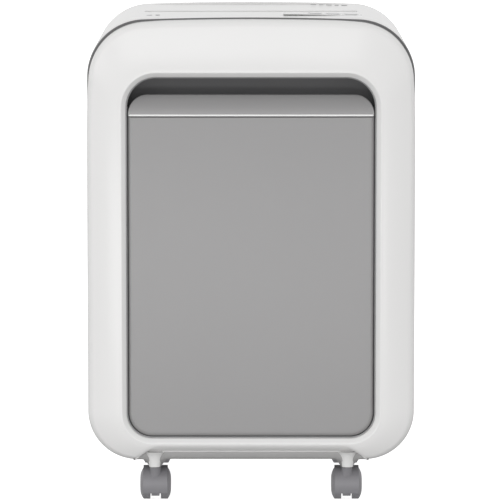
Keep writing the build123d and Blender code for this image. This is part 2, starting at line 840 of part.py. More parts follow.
for name, x in key_x.items():
    with BuildPart() as key:
        top = crown(x) + key_proud
        under = crown(panel_x1) - wall - 0.6
        bottom = board_top + tact_height + 0.1
        extrude(
            window(level(under), x - key_half_x, x + key_half_x, key_y - key_half_y, key_y + key_half_y),
            amount=top - under,
        )
        fillet(key.edges().filter_by(Axis.Z), 1.5)
        # Flange that stops the key from leaving the cover, and the plunger to its switch.
        extrude(
            window(
                level(under - key_flange),
                x - key_half_x - 1.2,
                x + key_half_x + 1.2,
                key_y - key_half_y - 1.2,
                key_y + key_half_y + 1.2,
            ),
            amount=key_flange,
        )
        extrude(disc(level(bottom + key_travel), x, key_y, 1.6), amount=under - bottom - key_travel)
    write(key, name)

with BuildPart() as control_board:
    extrude(
        window(level(board_top - board_thick), panel_x0 + 1, panel_x1 - 1, panel_y0, panel_y1),
        amount=board_thick,
    )
control_switches = []
for x in key_x.values():
    with BuildPart() as tact:
        extrude(window(level(board_top), x - 3, x + 3, key_y - 3, key_y + 3), amount=tact_height)
    control_switches.append(tact.part.solid())
control_board.part = Compound(children=[control_board.part.solid(), *control_switches])
write(control_board, "control_board")

with BuildPart() as status_light_pipes:
    for x in light_x:
        extrude(disc(level(board_top), x, key_y, light_radius), amount=crown(x) - board_top)
write(status_light_pipes, "status_light_pipes")

with BuildPart() as throat_guide:
    extrude(window(level(guide_bottom), -guide_half, guide_half, -guide_deep, guide_deep), amount=guide_top - guide_bottom)
    narrow = guide_bottom + 0.45 * (guide_top - guide_bottom)
    funnel_low = window(level(narrow), -slot_length / 2, slot_length / 2, -slot_width / 2, slot_width / 2)
    funnel_high = window(
        level(guide_top), -slot_length / 2 - 2, slot_length / 2 + 2, -slot_mouth / 2, slot_mouth / 2
    )
    loft([funnel_low, funnel_high], ruled=True, mode=Mode.SUBTRACT)
    extrude(
        window(level(guide_bottom), -slot_length / 2, slot_length / 2, -slot_width / 2, slot_width / 2),
        amount=narrow - guide_bottom,
        mode=Mode.SUBTRACT,
    )
    for side in (-1, 1):
        # The narrow lower part of the guide is thinner than its funnel.
        extrude(
            window(
                level(guide_bottom),
                -guide_half,
                guide_half,
                *sorted((side * (slot_width / 2 + slot_wall), side * (guide_deep + 1))),
            ),
            amount=0.4 * (guide_top - guide_bottom),
            mode=Mode.SUBTRACT,
        )
write(throat_guide, "throat_guide")

# ==== head deck and side plates ===============================================================
chute_half_x, chute_half_y = slot_length / 2 + 3.0, 27.0
chute_skirt = 7.0
deck_half = half_width - wall - 1.2
deck_front = liner_back + 1.0
deck_back = back_y - 20.0

with BuildPart() as head_deck:
    extrude(window(level(deck_bottom), -deck_half, deck_half, deck_front, deck_back), amount=deck_thick)
    extrude(
        window(
            level(deck_bottom - chute_skirt),
            -chute_half_x - 3,
            chute_half_x + 3,
            -chute_half_y - 3,
            chute_half_y + 3,
        ),
        amount=chute_skirt,
    )
    extrude(
        window(
            level(deck_bottom - chute_skirt), -chute_half_x, chute_half_x, -chute_half_y, chute_half_y
        ),
        amount=chute_skirt + deck_thick,
        mode=Mode.SUBTRACT,
    )
    for side in (-1, 1):
        for z in screw_heights[-1:]:
            # Notches that clear the screw bosses of the side and rear panels.
            notch = window(
                level(deck_bottom),
                *sorted((side * (boss_x - boss_radius - 2), side * (deck_half + 1))),
                rear_front - boss_length - 2,
                deck_back + 1,
            )
            extrude(notch, amount=deck_thick, mode=Mode.SUBTRACT)
write(head_deck, "head_deck")

front_shaft = (-shaft_gap / 2, cutter_z)
rear_shaft = (shaft_gap / 2, cutter_z)
idler_two_gap = (drive_teeth + small_two_teeth) * two_module / 2
idler_one_gap = (large_two_teeth + small_one_teeth) * one_module / 2
motor_gap = (large_one_teeth + pinion_teeth) * pinion_module / 2


def polar(origin, distance, degrees):
    """The point at a distance and angle from another, in the plane of the gears."""
    angle = math.radians(degrees)
    return (origin[0] + distance * math.cos(angle), origin[1] + distance * math.sin(angle))


idler_two_turn, idler_one_turn, motor_turn = 8.0, -15.0, 36.9
idler_two = polar(rear_shaft, idler_two_gap, idler_two_turn)
idler_one = polar(idler_two, idler_one_gap, idler_one_turn)
motor_axis = polar(idler_one, motor_gap, motor_turn)

plate_front = front_shaft[0] - 30.0
plate_back = motor_axis[0] + motor_radius + 1.0
idler_pin = 4.0
motor_shaft_radius = 2.5
motor_spigot = 8.0

with BuildPart() as gear_side_plate:
    extrude(
        window(side_plane(-plate_x - plate_thick), plate_front, plate_back, deck_top, deck_top + plate_height),
        amount=plate_thick,
    )
    for spot, radius in (
        (front_shaft, bush_radius),
        (rear_shaft, bush_radius),
        (idler_two, idler_pin),
        (idler_one, idler_pin),
        (motor_axis, motor_spigot),
    ):
        extrude(disc(side_plane(-plate_x - plate_thick), *spot, radius), amount=plate_thick, mode=Mode.SUBTRACT)
write(gear_side_plate, "gear_side_plate")

with BuildPart() as bearing_side_plate:
    extrude(window(side_plane(plate_x), plate_front, -plate_front, deck_top, deck_top + plate_height), amount=plate_thick)
    for spot in (front_shaft, rear_shaft):
        extrude(disc(side_plane(plate_x), *spot, bush_radius), amount=plate_thick, mode=Mode.SUBTRACT)
write(bearing_side_plate, "bearing_side_plate")

rod_radius = 4.0
rod_spots = [(y, z) for y in (plate_front + 7, -plate_front - 7) for z in (deck_top + 7, deck_top + plate_height - 7)]
with BuildPart() as tie_rods:
    for spot in rod_spots:
        extrude(disc(side_plane(-plate_x), *spot, rod_radius), amount=2 * plate_x)
write(tie_rods, "tie_rods")

with BuildPart() as cutter_bushes:
    for spot in (front_shaft, rear_shaft):
        for x0 in (-plate_x - plate_thick, plate_x):
            extrude(disc(side_plane(x0), *spot, bush_radius), amount=plate_thick)
        extrude(disc(side_plane(-plate_x), *spot, bush_radius + 2), amount=2.0)
        extrude(disc(side_plane(plate_x - 2.0), *spot, bush_radius + 2), amount=2.0)
        extrude(
            disc(side_plane(-plate_x - 10), *spot, journal_radius + running_gap),
            amount=2 * plate_x + 20,
            mode=Mode.SUBTRACT,
        )
write(cutter_bushes, "cutter_bushes")

# ==== cutters: hexagonal shafts with toothed discs and round spacers =============================
hex_radius = hex_flat / 2 / math.cos(math.pi / 6)
stack_length = disc_count * cutter_pitch
sync_x = -plate_x - plate_thick - 3.0
drive_x = sync_x - gear_face - 5.0
third_x = drive_x - gear_face - 3.0


def disc_outline(plane, spot, phase):
    """A cutting disc: each tooth rises along an arc's chords and ends in a hook."""
    pitch = 360.0 / disc_teeth
    points = []
    for tooth in range(disc_teeth):
        start = phase + tooth * pitch
        points += [
            polar(spot, disc_radius - disc_notch, start),
            polar(spot, disc_radius - 0.4 * disc_notch, start + 0.3 * pitch),
            polar(spot, disc_radius, start + 0.75 * pitch),
            polar(spot, disc_radius, start + 0.93 * pitch),
        ]
    with BuildSketch(plane) as face:
        with BuildLine():
            Polyline(*points, close=True)
        make_face()
        with Locations(spot):
            RegularPolygon(hex_radius, 6, mode=Mode.SUBTRACT)
    return face.sketch


for name, spot, shift, end_x in (
    ("front", front_shaft, -cutter_pitch / 4, sync_x - gear_face - 1.0),
    ("rear", rear_shaft, cutter_pitch / 4, drive_x - gear_face - 1.0),
):
    first = -stack_length / 2 + shift
    with BuildPart() as cutter_shaft:
        with BuildSketch(side_plane(first)) as hexagon:
            with Locations(spot):
                RegularPolygon(hex_radius, 6)
        extrude(hexagon.sketch, amount=stack_length)
        extrude(disc(side_plane(end_x), *spot, journal_radius), amount=plate_x + plate_thick + 2 - end_x)
    write(cutter_shaft, f"{name}_cutter_shaft")
    stack = []
    for index in range(disc_count):
        x0 = first + index * cutter_pitch
        with BuildPart() as cutting_disc:
            extrude(disc_outline(side_plane(x0), spot, 11.0 * index), amount=disc_width)
        with BuildPart() as spacer:
            with BuildSketch(side_plane(x0 + disc_width)) as ring:
                with Locations(spot):
                    Circle(spacer_radius)
                    RegularPolygon(hex_radius, 6, mode=Mode.SUBTRACT)
            extrude(ring.sketch, amount=cutter_pitch - disc_width)
        stack += [cutting_disc.part.solid(), spacer.part.solid()]
    with BuildPart() as cutter_stack:
        add(stack[0])
    cutter_stack.part = Compound(children=stack)
    write(cutter_stack, f"{name}_cutter_discs")

# Combs strip shreds from between the discs, on the outer side of each stack.
comb_clear = 0.8
comb_reach = disc_radius + 3.0
combs = []
for side, spot, shift in ((-1, front_shaft, -cutter_pitch / 4), (1, rear_shaft, cutter_pitch / 4)):
    bar_y = spot[0] + side * comb_reach
    with BuildPart() as comb:
        bar = window(side_plane(-plate_x + 2.5), *sorted((bar_y, bar_y + side * 5)), cutter_z - 14, cutter_z + 14)
        extrude(bar, amount=2 * plate_x - 5)
        for index in range(disc_count):
            x0 = -stack_length / 2 + shift + index * cutter_pitch + disc_width + 0.4
            finger = window(side_plane(x0), *sorted((spot[0] + side * 8, bar_y)), cutter_z - 9, cutter_z + 9)
            extrude(finger, amount=cutter_pitch - disc_width - 0.8)
        extrude(
            disc(side_plane(-plate_x), *spot, spacer_radius + comb_clear), amount=2 * plate_x, mode=Mode.SUBTRACT
        )
    combs += comb.part.solids()
with BuildPart() as stripper_combs:
    add(combs[0])
stripper_combs.part = Compound(children=combs)
write(stripper_combs, "stripper_combs")


# ==== gears ================================================================================
def gear_outline(plane, spot, teeth, module, phase, bore):
    """A spur gear with 25 degree stub teeth, thinned by the backlash; phase is the angle of a tooth."""
    pressure = math.radians(25.0)
    pitch_radius = teeth * module / 2
    base_radius = pitch_radius * math.cos(pressure)
    tip = pitch_radius + 0.8 * module
    root = pitch_radius - 1.05 * module
    half_tooth = (math.pi * module / 2 - backlash / 2) / (2 * pitch_radius)
    involute = math.tan(pressure) - pressure
    flank = []
    for step in range(6):
        radius = max(base_radius, root) + (tip - max(base_radius, root)) * step / 5
        angle = math.acos(min(1.0, base_radius / radius))
        flank.append((radius, half_tooth + involute - (math.tan(angle) - angle)))
    if root < base_radius:
        flank.insert(0, (root, flank[0][1]))
    points = []
    for tooth in range(teeth):
        centre = math.radians(phase) + 2 * math.pi * tooth / teeth
        for radius, half in flank:
            points.append(polar(spot, radius, math.degrees(centre - half)))
        for radius, half in reversed(flank):
            points.append(polar(spot, radius, math.degrees(centre + half)))
    with BuildSketch(plane) as face:
        with BuildLine():
            Polyline(*points, close=True)
        make_face()
        if bore:
            with Locations(spot):
                Circle(bore, mode=Mode.SUBTRACT)
    return face.sketch


def mesh_phase(direction, teeth_a, phase_a, teeth_b):
    """Phase of gear b, which lies in that direction from gear a, so that their teeth mesh."""
    return direction + 180.0 + 180.0 / teeth_b - (phase_a - direction) * teeth_a / teeth_b


with BuildPart() as rear_sync_gear:
    extrude(
        gear_outline(side_plane(sync_x - gear_face), rear_shaft, sync_teeth, sync_module, 0.0, journal_radius),
        amount=gear_face,
    )
write(rear_sync_gear, "rear_sync_gear")

with BuildPart() as front_sync_gear:
    front_phase = mesh_phase(180.0, sync_teeth, 0.0, sync_teeth)
    extrude(
        gear_outline(
            side_plane(sync_x - gear_face), front_shaft, sync_teeth, sync_module, front_phase, journal_radius
        ),
        amount=gear_face,
    )
write(front_sync_gear, "front_sync_gear")

with BuildPart() as drive_gear:
    extrude(
        gear_outline(side_plane(drive_x - gear_face), rear_shaft, drive_teeth, two_module, 0.0, journal_radius),
        amount=gear_face,
    )
    with BuildSketch(side_plane(drive_x - gear_face)) as lightening:
        with Locations(rear_shaft):
            with PolarLocations(18.5, 6):
                Circle(4.5)
    extrude(lightening.sketch, amount=gear_face, mode=Mode.SUBTRACT)
write(drive_gear, "drive_gear")

pin_bore = idler_pin + running_gap
two_phase = mesh_phase(idler_two_turn, drive_teeth, 0.0, small_two_teeth)
with BuildPart() as second_idler_gear:
    extrude(
        gear_outline(side_plane(drive_x - gear_face), idler_two, small_two_teeth, two_module, two_phase, pin_bore),
        amount=gear_face,
    )
    extrude(
        gear_outline(side_plane(third_x - gear_face), idler_two, large_two_teeth, one_module, 0.0, pin_bore),
        amount=gear_face,
    )
    with BuildSketch(side_plane(third_x)) as hub:
        with Locations(idler_two):
            Circle(6.5)
            Circle(pin_bore, mode=Mode.SUBTRACT)
    extrude(hub.sketch, amount=drive_x - gear_face - third_x)
write(second_idler_gear, "second_idler_gear")

one_phase = mesh_phase(idler_one_turn, large_two_teeth, 0.0, small_one_teeth)
with BuildPart() as first_idler_gear:
    extrude(
        gear_outline(side_plane(third_x - gear_face), idler_one, small_one_teeth, one_module, one_phase, pin_bore),
        amount=gear_face,
    )
    extrude(
        gear_outline(side_plane(drive_x - gear_face), idler_one, large_one_teeth, pinion_module, 0.0, pin_bore),
        amount=gear_face,
    )
    with BuildSketch(side_plane(third_x)) as hub:
        with Locations(idler_one):
            Circle(5.6)
            Circle(pin_bore, mode=Mode.SUBTRACT)
    extrude(hub.sketch, amount=drive_x - gear_face - third_x)
write(first_idler_gear, "first_idler_gear")

cover_x = third_x - gear_face - 3.0
cover_plate = 2.5
cover_height = 58.0
post_spots = [
    (plate_front + 6, deck_top + 5),
    (plate_front + 6, deck_top + cover_height - 5),
    (plate_back - 8, deck_top + 5),
    (plate_back - 8, deck_top + cover_height - 5),
]
with BuildPart() as idler_axles:
    for spot in (idler_one, idler_two):
        extrude(disc(side_plane(cover_x - cover_plate), *spot, idler_pin), amount=-plate_x - cover_x + cover_plate)
write(idler_axles, "idler_axles")

with BuildPart() as gear_cover:
    extrude(
        window(side_plane(cover_x - cover_plate), plate_front, plate_back, deck_top + 1, deck_top + cover_height),
        amount=cover_plate,
    )
    fillet(gear_cover.edges().filter_by(Axis.X), 6.0)
    for spot in (idler_one, idler_two):
        extrude(disc(side_plane(cover_x - cover_plate), *spot, idler_pin), amount=cover_plate, mode=Mode.SUBTRACT)
    for spot in post_spots:
        extrude(disc(side_plane(cover_x), *spot, 3.5), amount=-plate_x - plate_thick - cover_x)
write(gear_cover, "gear_cover")

# ==== motor ================================================================================
motor_start = -plate_x
with BuildPart() as motor_body:
    extrude(disc(side_plane(motor_start), *motor_axis, motor_radius), amount=motor_length)
    chamfer(motor_body.faces().sort_by(Axis.X)[-1].edges(), 5.0)
    extrude(disc(side_plane(motor_start - plate_thick), *motor_axis, motor_spigot), amount=plate_thick)
    with BuildSketch(side_plane(motor_start + 12)) as vents:
        with Locations(motor_axis):
            with PolarLocations(motor_radius, 12):
                Rectangle(5.0, 4.0)
    extrude(vents.sketch, amount=motor_length - 34, mode=Mode.SUBTRACT)
    extrude(
        disc(side_plane(motor_start - 10), *motor_axis, motor_shaft_radius + running_gap),
        amount=motor_length + 20,
        mode=Mode.SUBTRACT,
    )
write(motor_body, "motor_body")

pinion_phase = mesh_phase(motor_turn, large_one_teeth, 0.0, pinion_teeth)
fan_x = motor_start + motor_length + 3.0
fan_width = 12.0
with BuildPart() as motor_shaft:
    shaft_end = drive_x - gear_face - 1.0
    extrude(disc(side_plane(shaft_end), *motor_axis, motor_shaft_radius), amount=fan_x + fan_width - shaft_end)
    extrude(
        gear_outline(
            side_plane(drive_x - gear_face - 0.5), motor_axis, pinion_teeth, pinion_module, pinion_phase, 0
        ),
        amount=gear_face + 1,
    )
write(motor_shaft, "motor_shaft")

with BuildPart() as motor_fan:
    extrude(disc(side_plane(fan_x), *motor_axis, 26.0), amount=1.5)
    with BuildSketch(side_plane(fan_x)) as blades:
        with Locations(motor_axis):
            with PolarLocations(16.5, 9):
                Rectangle(17.0, 1.4, rotation=18)
    extrude(blades.sketch, amount=fan_width)
    extrude(disc(side_plane(fan_x), *motor_axis, 9.0), amount=fan_width)
    extrude(
        disc(side_plane(fan_x), *motor_axis, motor_shaft_radius), amount=fan_width, mode=Mode.SUBTRACT
    )
write(motor_fan, "motor_fan")

# ==== electrics ==============================================================================
pcb_z = deck_top + 6.0
pcb_x0, pcb_x1, pcb_y0, pcb_y1 = 24.0, 108.0, 58.0, 122.0
with BuildPart() as pcb:
    extrude(window(level(pcb_z), pcb_x0, pcb_x1, pcb_y0, pcb_y1), amount=board_thick)
    for x in (pcb_x0 + 5, pcb_x1 - 5):
        for y in (pcb_y0 + 5, pcb_y1 - 5):
            extrude(disc(level(deck_top), x, y, 2.5), amount=pcb_z - deck_top)
board_parts = [pcb.part.solid()]
for x, y, size_x, size_y, size_z in (
    (45.0, 84.0, 26.0, 30.0, 24.0),
    (74.0, 74.0, 16.0, 12.0, 15.0),
    (74.0, 92.0, 16.0, 12.0, 15.0),
    (96.0, 106.0, 12.0, 18.0, 12.0),
):
    with BuildPart() as block:
        extrude(
            window(level(pcb_z + board_thick), x - size_x / 2, x + size_x / 2, y - size_y / 2, y + size_y / 2),
            amount=size_z,
        )
    board_parts.append(block.part.solid())
for x, y in ((94.0, 74.0), (94.0, 87.0)):
    with BuildPart() as capacitor:
        extrude(disc(level(pcb_z + board_thick), x, y, 5.0), amount=20.0)
    board_parts.append(capacitor.part.solid())
with BuildPart() as power_board:
    add(board_parts[0])
power_board.part = Compound(children=board_parts)
write(power_board, "power_board")

# Interlock: the tub's back wall holds the plunger in while the bin is home.
interlock_x, interlock_z = tub_half - 29.0, tub_top - 12.0
interlock_travel = 3.0
plunger_radius = 1.8
switch_front = tub_back + slip + interlock_travel + 1.5
with BuildPart() as interlock_switch:
    extrude(
        window(
            front_plane(switch_front + 14), interlock_x - 10, interlock_x + 10, interlock_z - 7, interlock_z + 7
        ),
        amount=14,
    )
    extrude(
        window(
            front_plane(switch_front + 14), interlock_x - 10, interlock_x + 10, interlock_z + 7, deck_bottom
        ),
        amount=4,
    )
    extrude(
        disc(front_plane(switch_front + 11), interlock_x, interlock_z, plunger_radius + 0.1),
        amount=12,
        mode=Mode.SUBTRACT,
    )
write(interlock_switch, "interlock_switch")

with BuildPart() as interlock_plunger:
    tip = tub_back + slip
    extrude(disc(front_plane(switch_front + 10), interlock_x, interlock_z, plunger_radius), amount=switch_front + 10 - tip)
write(interlock_plunger, "interlock_plunger")
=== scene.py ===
"""Looks of the free-standing paper shredder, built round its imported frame, in metres."""

import json
import math

import bmesh
import bpy
import numpy as np
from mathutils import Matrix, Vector


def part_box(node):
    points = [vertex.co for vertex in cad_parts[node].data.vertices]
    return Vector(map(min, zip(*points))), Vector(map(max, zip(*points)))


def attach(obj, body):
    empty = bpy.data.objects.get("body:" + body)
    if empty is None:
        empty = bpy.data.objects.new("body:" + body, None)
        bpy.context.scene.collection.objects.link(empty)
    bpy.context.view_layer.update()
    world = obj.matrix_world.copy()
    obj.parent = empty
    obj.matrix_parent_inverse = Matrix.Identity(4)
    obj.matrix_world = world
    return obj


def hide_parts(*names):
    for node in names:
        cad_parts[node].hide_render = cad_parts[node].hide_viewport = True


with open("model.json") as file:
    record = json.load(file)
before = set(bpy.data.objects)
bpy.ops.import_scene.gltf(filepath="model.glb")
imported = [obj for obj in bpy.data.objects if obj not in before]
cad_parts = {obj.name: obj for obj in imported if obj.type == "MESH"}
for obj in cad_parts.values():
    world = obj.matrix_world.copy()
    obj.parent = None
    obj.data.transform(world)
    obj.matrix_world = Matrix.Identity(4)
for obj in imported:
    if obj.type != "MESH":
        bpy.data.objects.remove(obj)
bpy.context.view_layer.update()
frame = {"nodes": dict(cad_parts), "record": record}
nodes = frame["nodes"]
scene = bpy.context.scene
mm = 0.001
for packed in list(bpy.data.materials):
    bpy.data.materials.remove(packed)

# ---- sizes of the casing, in millimetres, read off the frame ---------------------------
door_low, door_high = (np.array(c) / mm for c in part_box("bin_front_panel"))
grip_low, grip_high = (np.array(c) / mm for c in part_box("bin_grip_trim"))
fascia_low, fascia_high = (np.array(c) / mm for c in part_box("front_fascia"))
cover_low, cover_high = (np.array(c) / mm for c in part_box("top_cover"))
guide_low, guide_high = (np.array(c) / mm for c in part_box("throat_guide"))
overlay_low, overlay_high = (np.array(c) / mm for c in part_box("control_overlay"))
base_low = np.array(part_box("base_tray")[0]) / mm

half_width = fascia_high[0]
front_y = fascia_low[1]
fascia_back = fascia_high[1]
crown_top = fascia_high[2]
casing_foot = fascia_low[2]
crown_radius = 3400.0
top_corner = 64.0
foot_corner = 55.0
mouth_half = 137.5
mouth_top = crown_top - 64.5
mouth_foot = casing_foot + 25.7
mouth_foot_corner = 28.0
mouth_top_corner = 33.0
lid_step = 2.2  # the lid stands this much proud of the fascia's top edge
reach = half_width - top_corner  # half the width of the crowned part, between the corners
shoulder = crown_top - crown_radius + math.sqrt((crown_radius - top_corner) ** 2 - reach**2)

fascia_wall = 2.8
lid_wall = 2.4
side_wall = 2.6
shell_roll = 0.9  # radius at the front and back edges of the lid and the sides
shell_front = fascia_back + 0.4
shell_back = cover_high[1]
split = cover_low[2]

arch_lift = 9.4  # the fascia's foot is this much higher between the lower corners
arch_flat = 114.0  # half the width of the arch's level part
arch_fall = 17.0  # width over which the arch comes down on either side
boss_foot = base_low[2]
base_foot = boss_foot + 10.0
front_stem_x = 107.0
stem_y = 114.0


# ==== surfaces ===========================================================================
def outline(half, low, high, r_low, r_high, across=48, up=56, turn=9):
    """Rounded rectangle seen from the front, anticlockwise from the middle of its lower left corner.

    Each side is half a corner arc, a straight run and half the next arc, so opposite
    sides always have equally many points. turn is the number of steps in half an arc.
    """
    swing = np.radians(np.linspace(0.0, 45.0, turn + 1))
    centres = (
        (-half + r_low, low + r_low, r_low),
        (half - r_low, low + r_low, r_low),
        (half - r_high, high - r_high, r_high),
        (-half + r_high, high - r_high, r_high),
    )
    sides = []
    for i, count in enumerate((across, up, across, up)):
        arcs = []
        for (cx, cz, r), start in ((centres[i], 225 + 90 * i), (centres[(i + 1) % 4], 270 + 90 * i)):
            t = math.radians(start) + swing
            arcs.append(np.stack([cx + r * np.cos(t), cz + r * np.sin(t)], 1))
        s = np.linspace(0.0, 1.0, count + 1)[1:-1, None]
        run = arcs[0][-1] + s * (arcs[1][0] - arcs[0][-1])
        sides.append(np.concatenate([arcs[0], run, arcs[1][:-1]]))
    return np.concatenate(sides)


def crown(x, inset=0.0):
    """Height of the crowned top at x: a shallow circular arc across the width."""
    r = crown_radius - inset
    return crown_top - crown_radius + np.sqrt(r * r - x * x)


def smooth(t):
    """Cubic step from 0 to 1."""
    t = np.clip(t, 0.0, 1.0)
    return t * t * (3.0 - 2.0 * t)


def arch_share(x):
    """How much of the arch's lift is there at x: all in the middle, none past the cubic step at its sides."""
    return 1.0 - smooth((np.abs(x) - arch_flat) / arch_fall)


def ring_quads(rings, count, first=0, close=False):
    """Quads between neighbouring rings of `count` points, and from the last ring to the first if closed."""
    k = np.arange(rings if close else rings - 1)[:, None]
    i = np.arange(count)[None, :]
    j = (i + 1) % count
    n = (k + 1) % rings
    return first + np.stack([k * count + i, k * count + j, n * count + j, n * count + i], 2).reshape(-1, 4)


def coons(ring, across, up):
    """Fills a four-sided ring: each inner point blends the four sides bilinearly, less the corners' share.

    Returns the inner points and a function that numbers a whole (up+1) x (across+1) grid.
    """
    total = len(ring)
    u = np.linspace(0.0, 1.0, across + 1)[None, :, None]
    v = np.linspace(0.0, 1.0, up + 1)[:, None, None]
    low = ring[: across + 1][None]
    right = ring[across : across + up + 1][:, None]
    high = ring[across + up : 2 * across + up + 1][::-1][None]
    left = np.concatenate([ring[2 * across + up :], ring[:1]])[::-1][:, None]
    sheet = (1 - v) * low + v * high + (1 - u) * left + u * right
    sheet -= (1 - u) * (1 - v) * low[:, :1] + u * (1 - v) * low[:, -1:]
    sheet -= (1 - u) * v * high[:, :1] + u * v * high[:, -1:]
    inner = sheet[1:-1, 1:-1]

    def numbers(ring_start, inner_start):
        grid = np.zeros((up + 1, across + 1), int)
        index = ring_start + np.arange(total)
        grid[0] = index[: across + 1]
        grid[:, -1] = index[across : across + up + 1]
        grid[-1] = index[across + up : 2 * across + up + 1][::-1]
        grid[:, 0] = np.append(index[2 * across + up :], index[0])[::-1]
        grid[1:-1, 1:-1] = inner_start + np.arange((up - 1) * (across - 1)).reshape(up - 1, across - 1)
        return grid

    return inner.reshape(-1, ring.shape[1]), numbers


def grid_quads(grid, keep=None):
    """Quads of a numbered grid, facing the side from which columns run right and rows run up."""
    quads = np.stack([grid[:-1, :-1], grid[:-1, 1:], grid[1:, 1:], grid[1:, :-1]], 2)
    return quads[keep] if keep is not None else quads.reshape(-1, 4)


def piece(name, points, quads, material, body, replaced=(), sharp=32.0):
    """Puts arrays of points (mm) and quads into a mesh object that rides on a body."""
    mesh = bpy.data.meshes.new(name)
    points = np.asarray(points, float) * mm
    used, inverse = np.unique(quads, return_inverse=True)
    points, quads = points[used], inverse.reshape(np.shape(quads))
    mesh.vertices.add(len(points))
    mesh.vertices.foreach_set("co", points.ravel())
    mesh.loops.add(quads.size)
    mesh.loops.foreach_set("vertex_index", quads.ravel().astype(np.int32))
    mesh.polygons.add(len(quads))
    mesh.polygons.foreach_set("loop_start", np.arange(0, quads.size, 4, dtype=np.int32))
    mesh.update(calc_edges=True)
    mesh.validate()
    mesh.shade_smooth()
    mesh.set_sharp_from_angle(angle=math.radians(sharp))
    mesh.materials.append(material)
    obj = bpy.data.objects.new(name, mesh)
    scene.collection.objects.link(obj)
    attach(obj, body)
    if replaced:
        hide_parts(*replaced)
    return obj


def wall(obj, thickness, edge, angle=38.0):
    """Gives an open sheet its wall on the inside, then rounds every sharp edge."""
    solid = obj.modifiers.new("wall", "SOLIDIFY")
    solid.thickness = thickness * mm
    solid.offset = -1.0
    solid.use_even_offset = True
    round_edges(obj, edge, angle)


def round_edges(obj, edge, angle=38.0):
    """Rounds every edge sharper than the angle."""
    bevel = obj.modifiers.new("edges", "BEVEL")
    bevel.width = edge * mm
    bevel.segments = 2
    bevel.limit_method = "ANGLE"
    bevel.angle_limit = math.radians(angle)
    bevel.harden_normals = True


# ==== materials ==========================================================================
def finish(
    name,
    colour,
    roughness,
    metallic=0.0,
    grain=900.0,
    grain_depth=0.02,
    mottle=6.0,
    mottle_share=0.03,
    rough_swing=0.06,
    specular=0.5,
    coat=0.0,
    coat_roughness=0.2,
):
    """A moulded or ground surface: broad mottle in colour, fine grain in roughness and bump."""
    material = bpy.data.materials.new(name)
    material.use_nodes = True
    tree = material.node_tree
    shader = tree.nodes["Principled BSDF"]
    shader.inputs["Metallic"].default_value = metallic
    shader.inputs["Specular IOR Level"].default_value = specular
    shader.inputs["Coat Weight"].default_value = coat
    shader.inputs["Coat Roughness"].default_value = coat_roughness
    place = tree.nodes.new("ShaderNodeTexCoord")
    broad = tree.nodes.new("ShaderNodeTexNoise")
    broad.inputs["Scale"].default_value = mottle
    broad.inputs["Detail"].default_value = 3.0
    fine = tree.nodes.new("ShaderNodeTexNoise")
    fine.inputs["Scale"].default_value = grain
    fine.inputs["Detail"].default_value = 2.0
    tint = tree.nodes.new("ShaderNodeMix")
    tint.data_type = "RGBA"
    dark = [c * (1.0 - mottle_share) for c in colour]
    light = [min(1.0, c * (1.0 + mottle_share)) for c in colour]
    tint.inputs["A"].default_value = (*dark, 1.0)
    tint.inputs["B"].default_value = (*light, 1.0)
    swing = tree.nodes.new("ShaderNodeMapRange")
    swing.inputs["From Min"].default_value = 0.3
    swing.inputs["From Max"].default_value = 0.7
    swing.inputs["To Min"].default_value = max(0.02, roughness - rough_swing)
    swing.inputs["To Max"].default_value = roughness + rough_swing
    bump = tree.nodes.new("ShaderNodeBump")
    bump.inputs["Strength"].default_value = 0.35
    bump.inputs["Distance"].default_value = grain_depth * mm
    link = tree.links.new
    link(place.outputs["Object"], broad.inputs["Vector"])
    link(place.outputs["Object"], fine.inputs["Vector"])
    link(broad.outputs["Fac"], tint.inputs["Factor"])
    link(tint.outputs["Result"], shader.inputs["Base Color"])
    link(fine.outputs["Fac"], swing.inputs["Value"])
    link(swing.outputs["Result"], shader.inputs["Roughness"])
    link(fine.outputs["Fac"], bump.inputs["Height"])
    link(bump.outputs["Normal"], shader.inputs["Normal"])
    return material


white_shell = finish(
    "white_shell", (0.79, 0.785, 0.78), 0.34, grain=1400, grain_depth=0.01, mottle_share=0.012,
    coat=0.35, coat_roughness=0.16,
)
dark_liner = finish("dark_liner", (0.11, 0.11, 0.113), 0.5, grain=1100, grain_depth=0.03)
bin_silver = finish(
    "bin_silver", (0.292, 0.288, 0.289), 0.4, metallic=0.25, grain=2200, grain_depth=0.01,
    mottle_share=0.02,
)
bin_grey = finish("bin_grey", (0.17, 0.17, 0.175), 0.5, grain=900, grain_depth=0.03)
# Painted shade: the base is the same light plastic as the bosses; this darker grey stands for the shade it
# sits in under the fascia.
base_grey = finish("base_grey", (0.36, 0.356, 0.354), 0.45, grain=900, grain_depth=0.03)
wheel_grey = finish("wheel_grey", (0.25, 0.245, 0.26), 0.45, grain=1200, grain_depth=0.02)
steel = finish(
    "steel", (0.52, 0.53, 0.54), 0.34, metallic=1.0, grain=1800, grain_depth=0.008, mottle_share=0.05,
)
bright_steel = finish(
    "bright_steel", (0.64, 0.65, 0.66), 0.22, metallic=1.0, grain=2500, grain_depth=0.005,
    mottle_share=0.03,
)
bronze = finish("bronze", (0.52, 0.33, 0.16), 0.42, metallic=1.0, grain=1500, grain_depth=0.02)
gear_plastic = finish("gear_plastic", (0.74, 0.71, 0.62), 0.42, grain=1200, grain_depth=0.015)
black_plastic = finish("black_plastic", (0.022, 0.022, 0.024), 0.45, grain=1200, grain_depth=0.03)
key_grey = finish("key_grey", (0.6, 0.6, 0.605), 0.4, grain=1600, grain_depth=0.015)
overlay_grey = finish("overlay_grey", (0.72, 0.72, 0.715), 0.28, grain=1800, grain_depth=0.008, coat=0.3)
light_pipe = finish("light_pipe", (0.72, 0.78, 0.73), 0.12, grain=1200, grain_depth=0.004, coat=0.6)
board_green = finish("board_green", (0.03, 0.13, 0.05), 0.35, grain=700, grain_depth=0.02)
# Painted highlight: this light silver on the grip bead stands for the light caught on the crease under the
# grip; the bin's front is one silver moulding.
bead_highlight_silver = finish(
    "bead_highlight_silver", (0.86, 0.86, 0.855), 0.3, grain=2200, grain_depth=0.006, mottle_share=0.01,
)
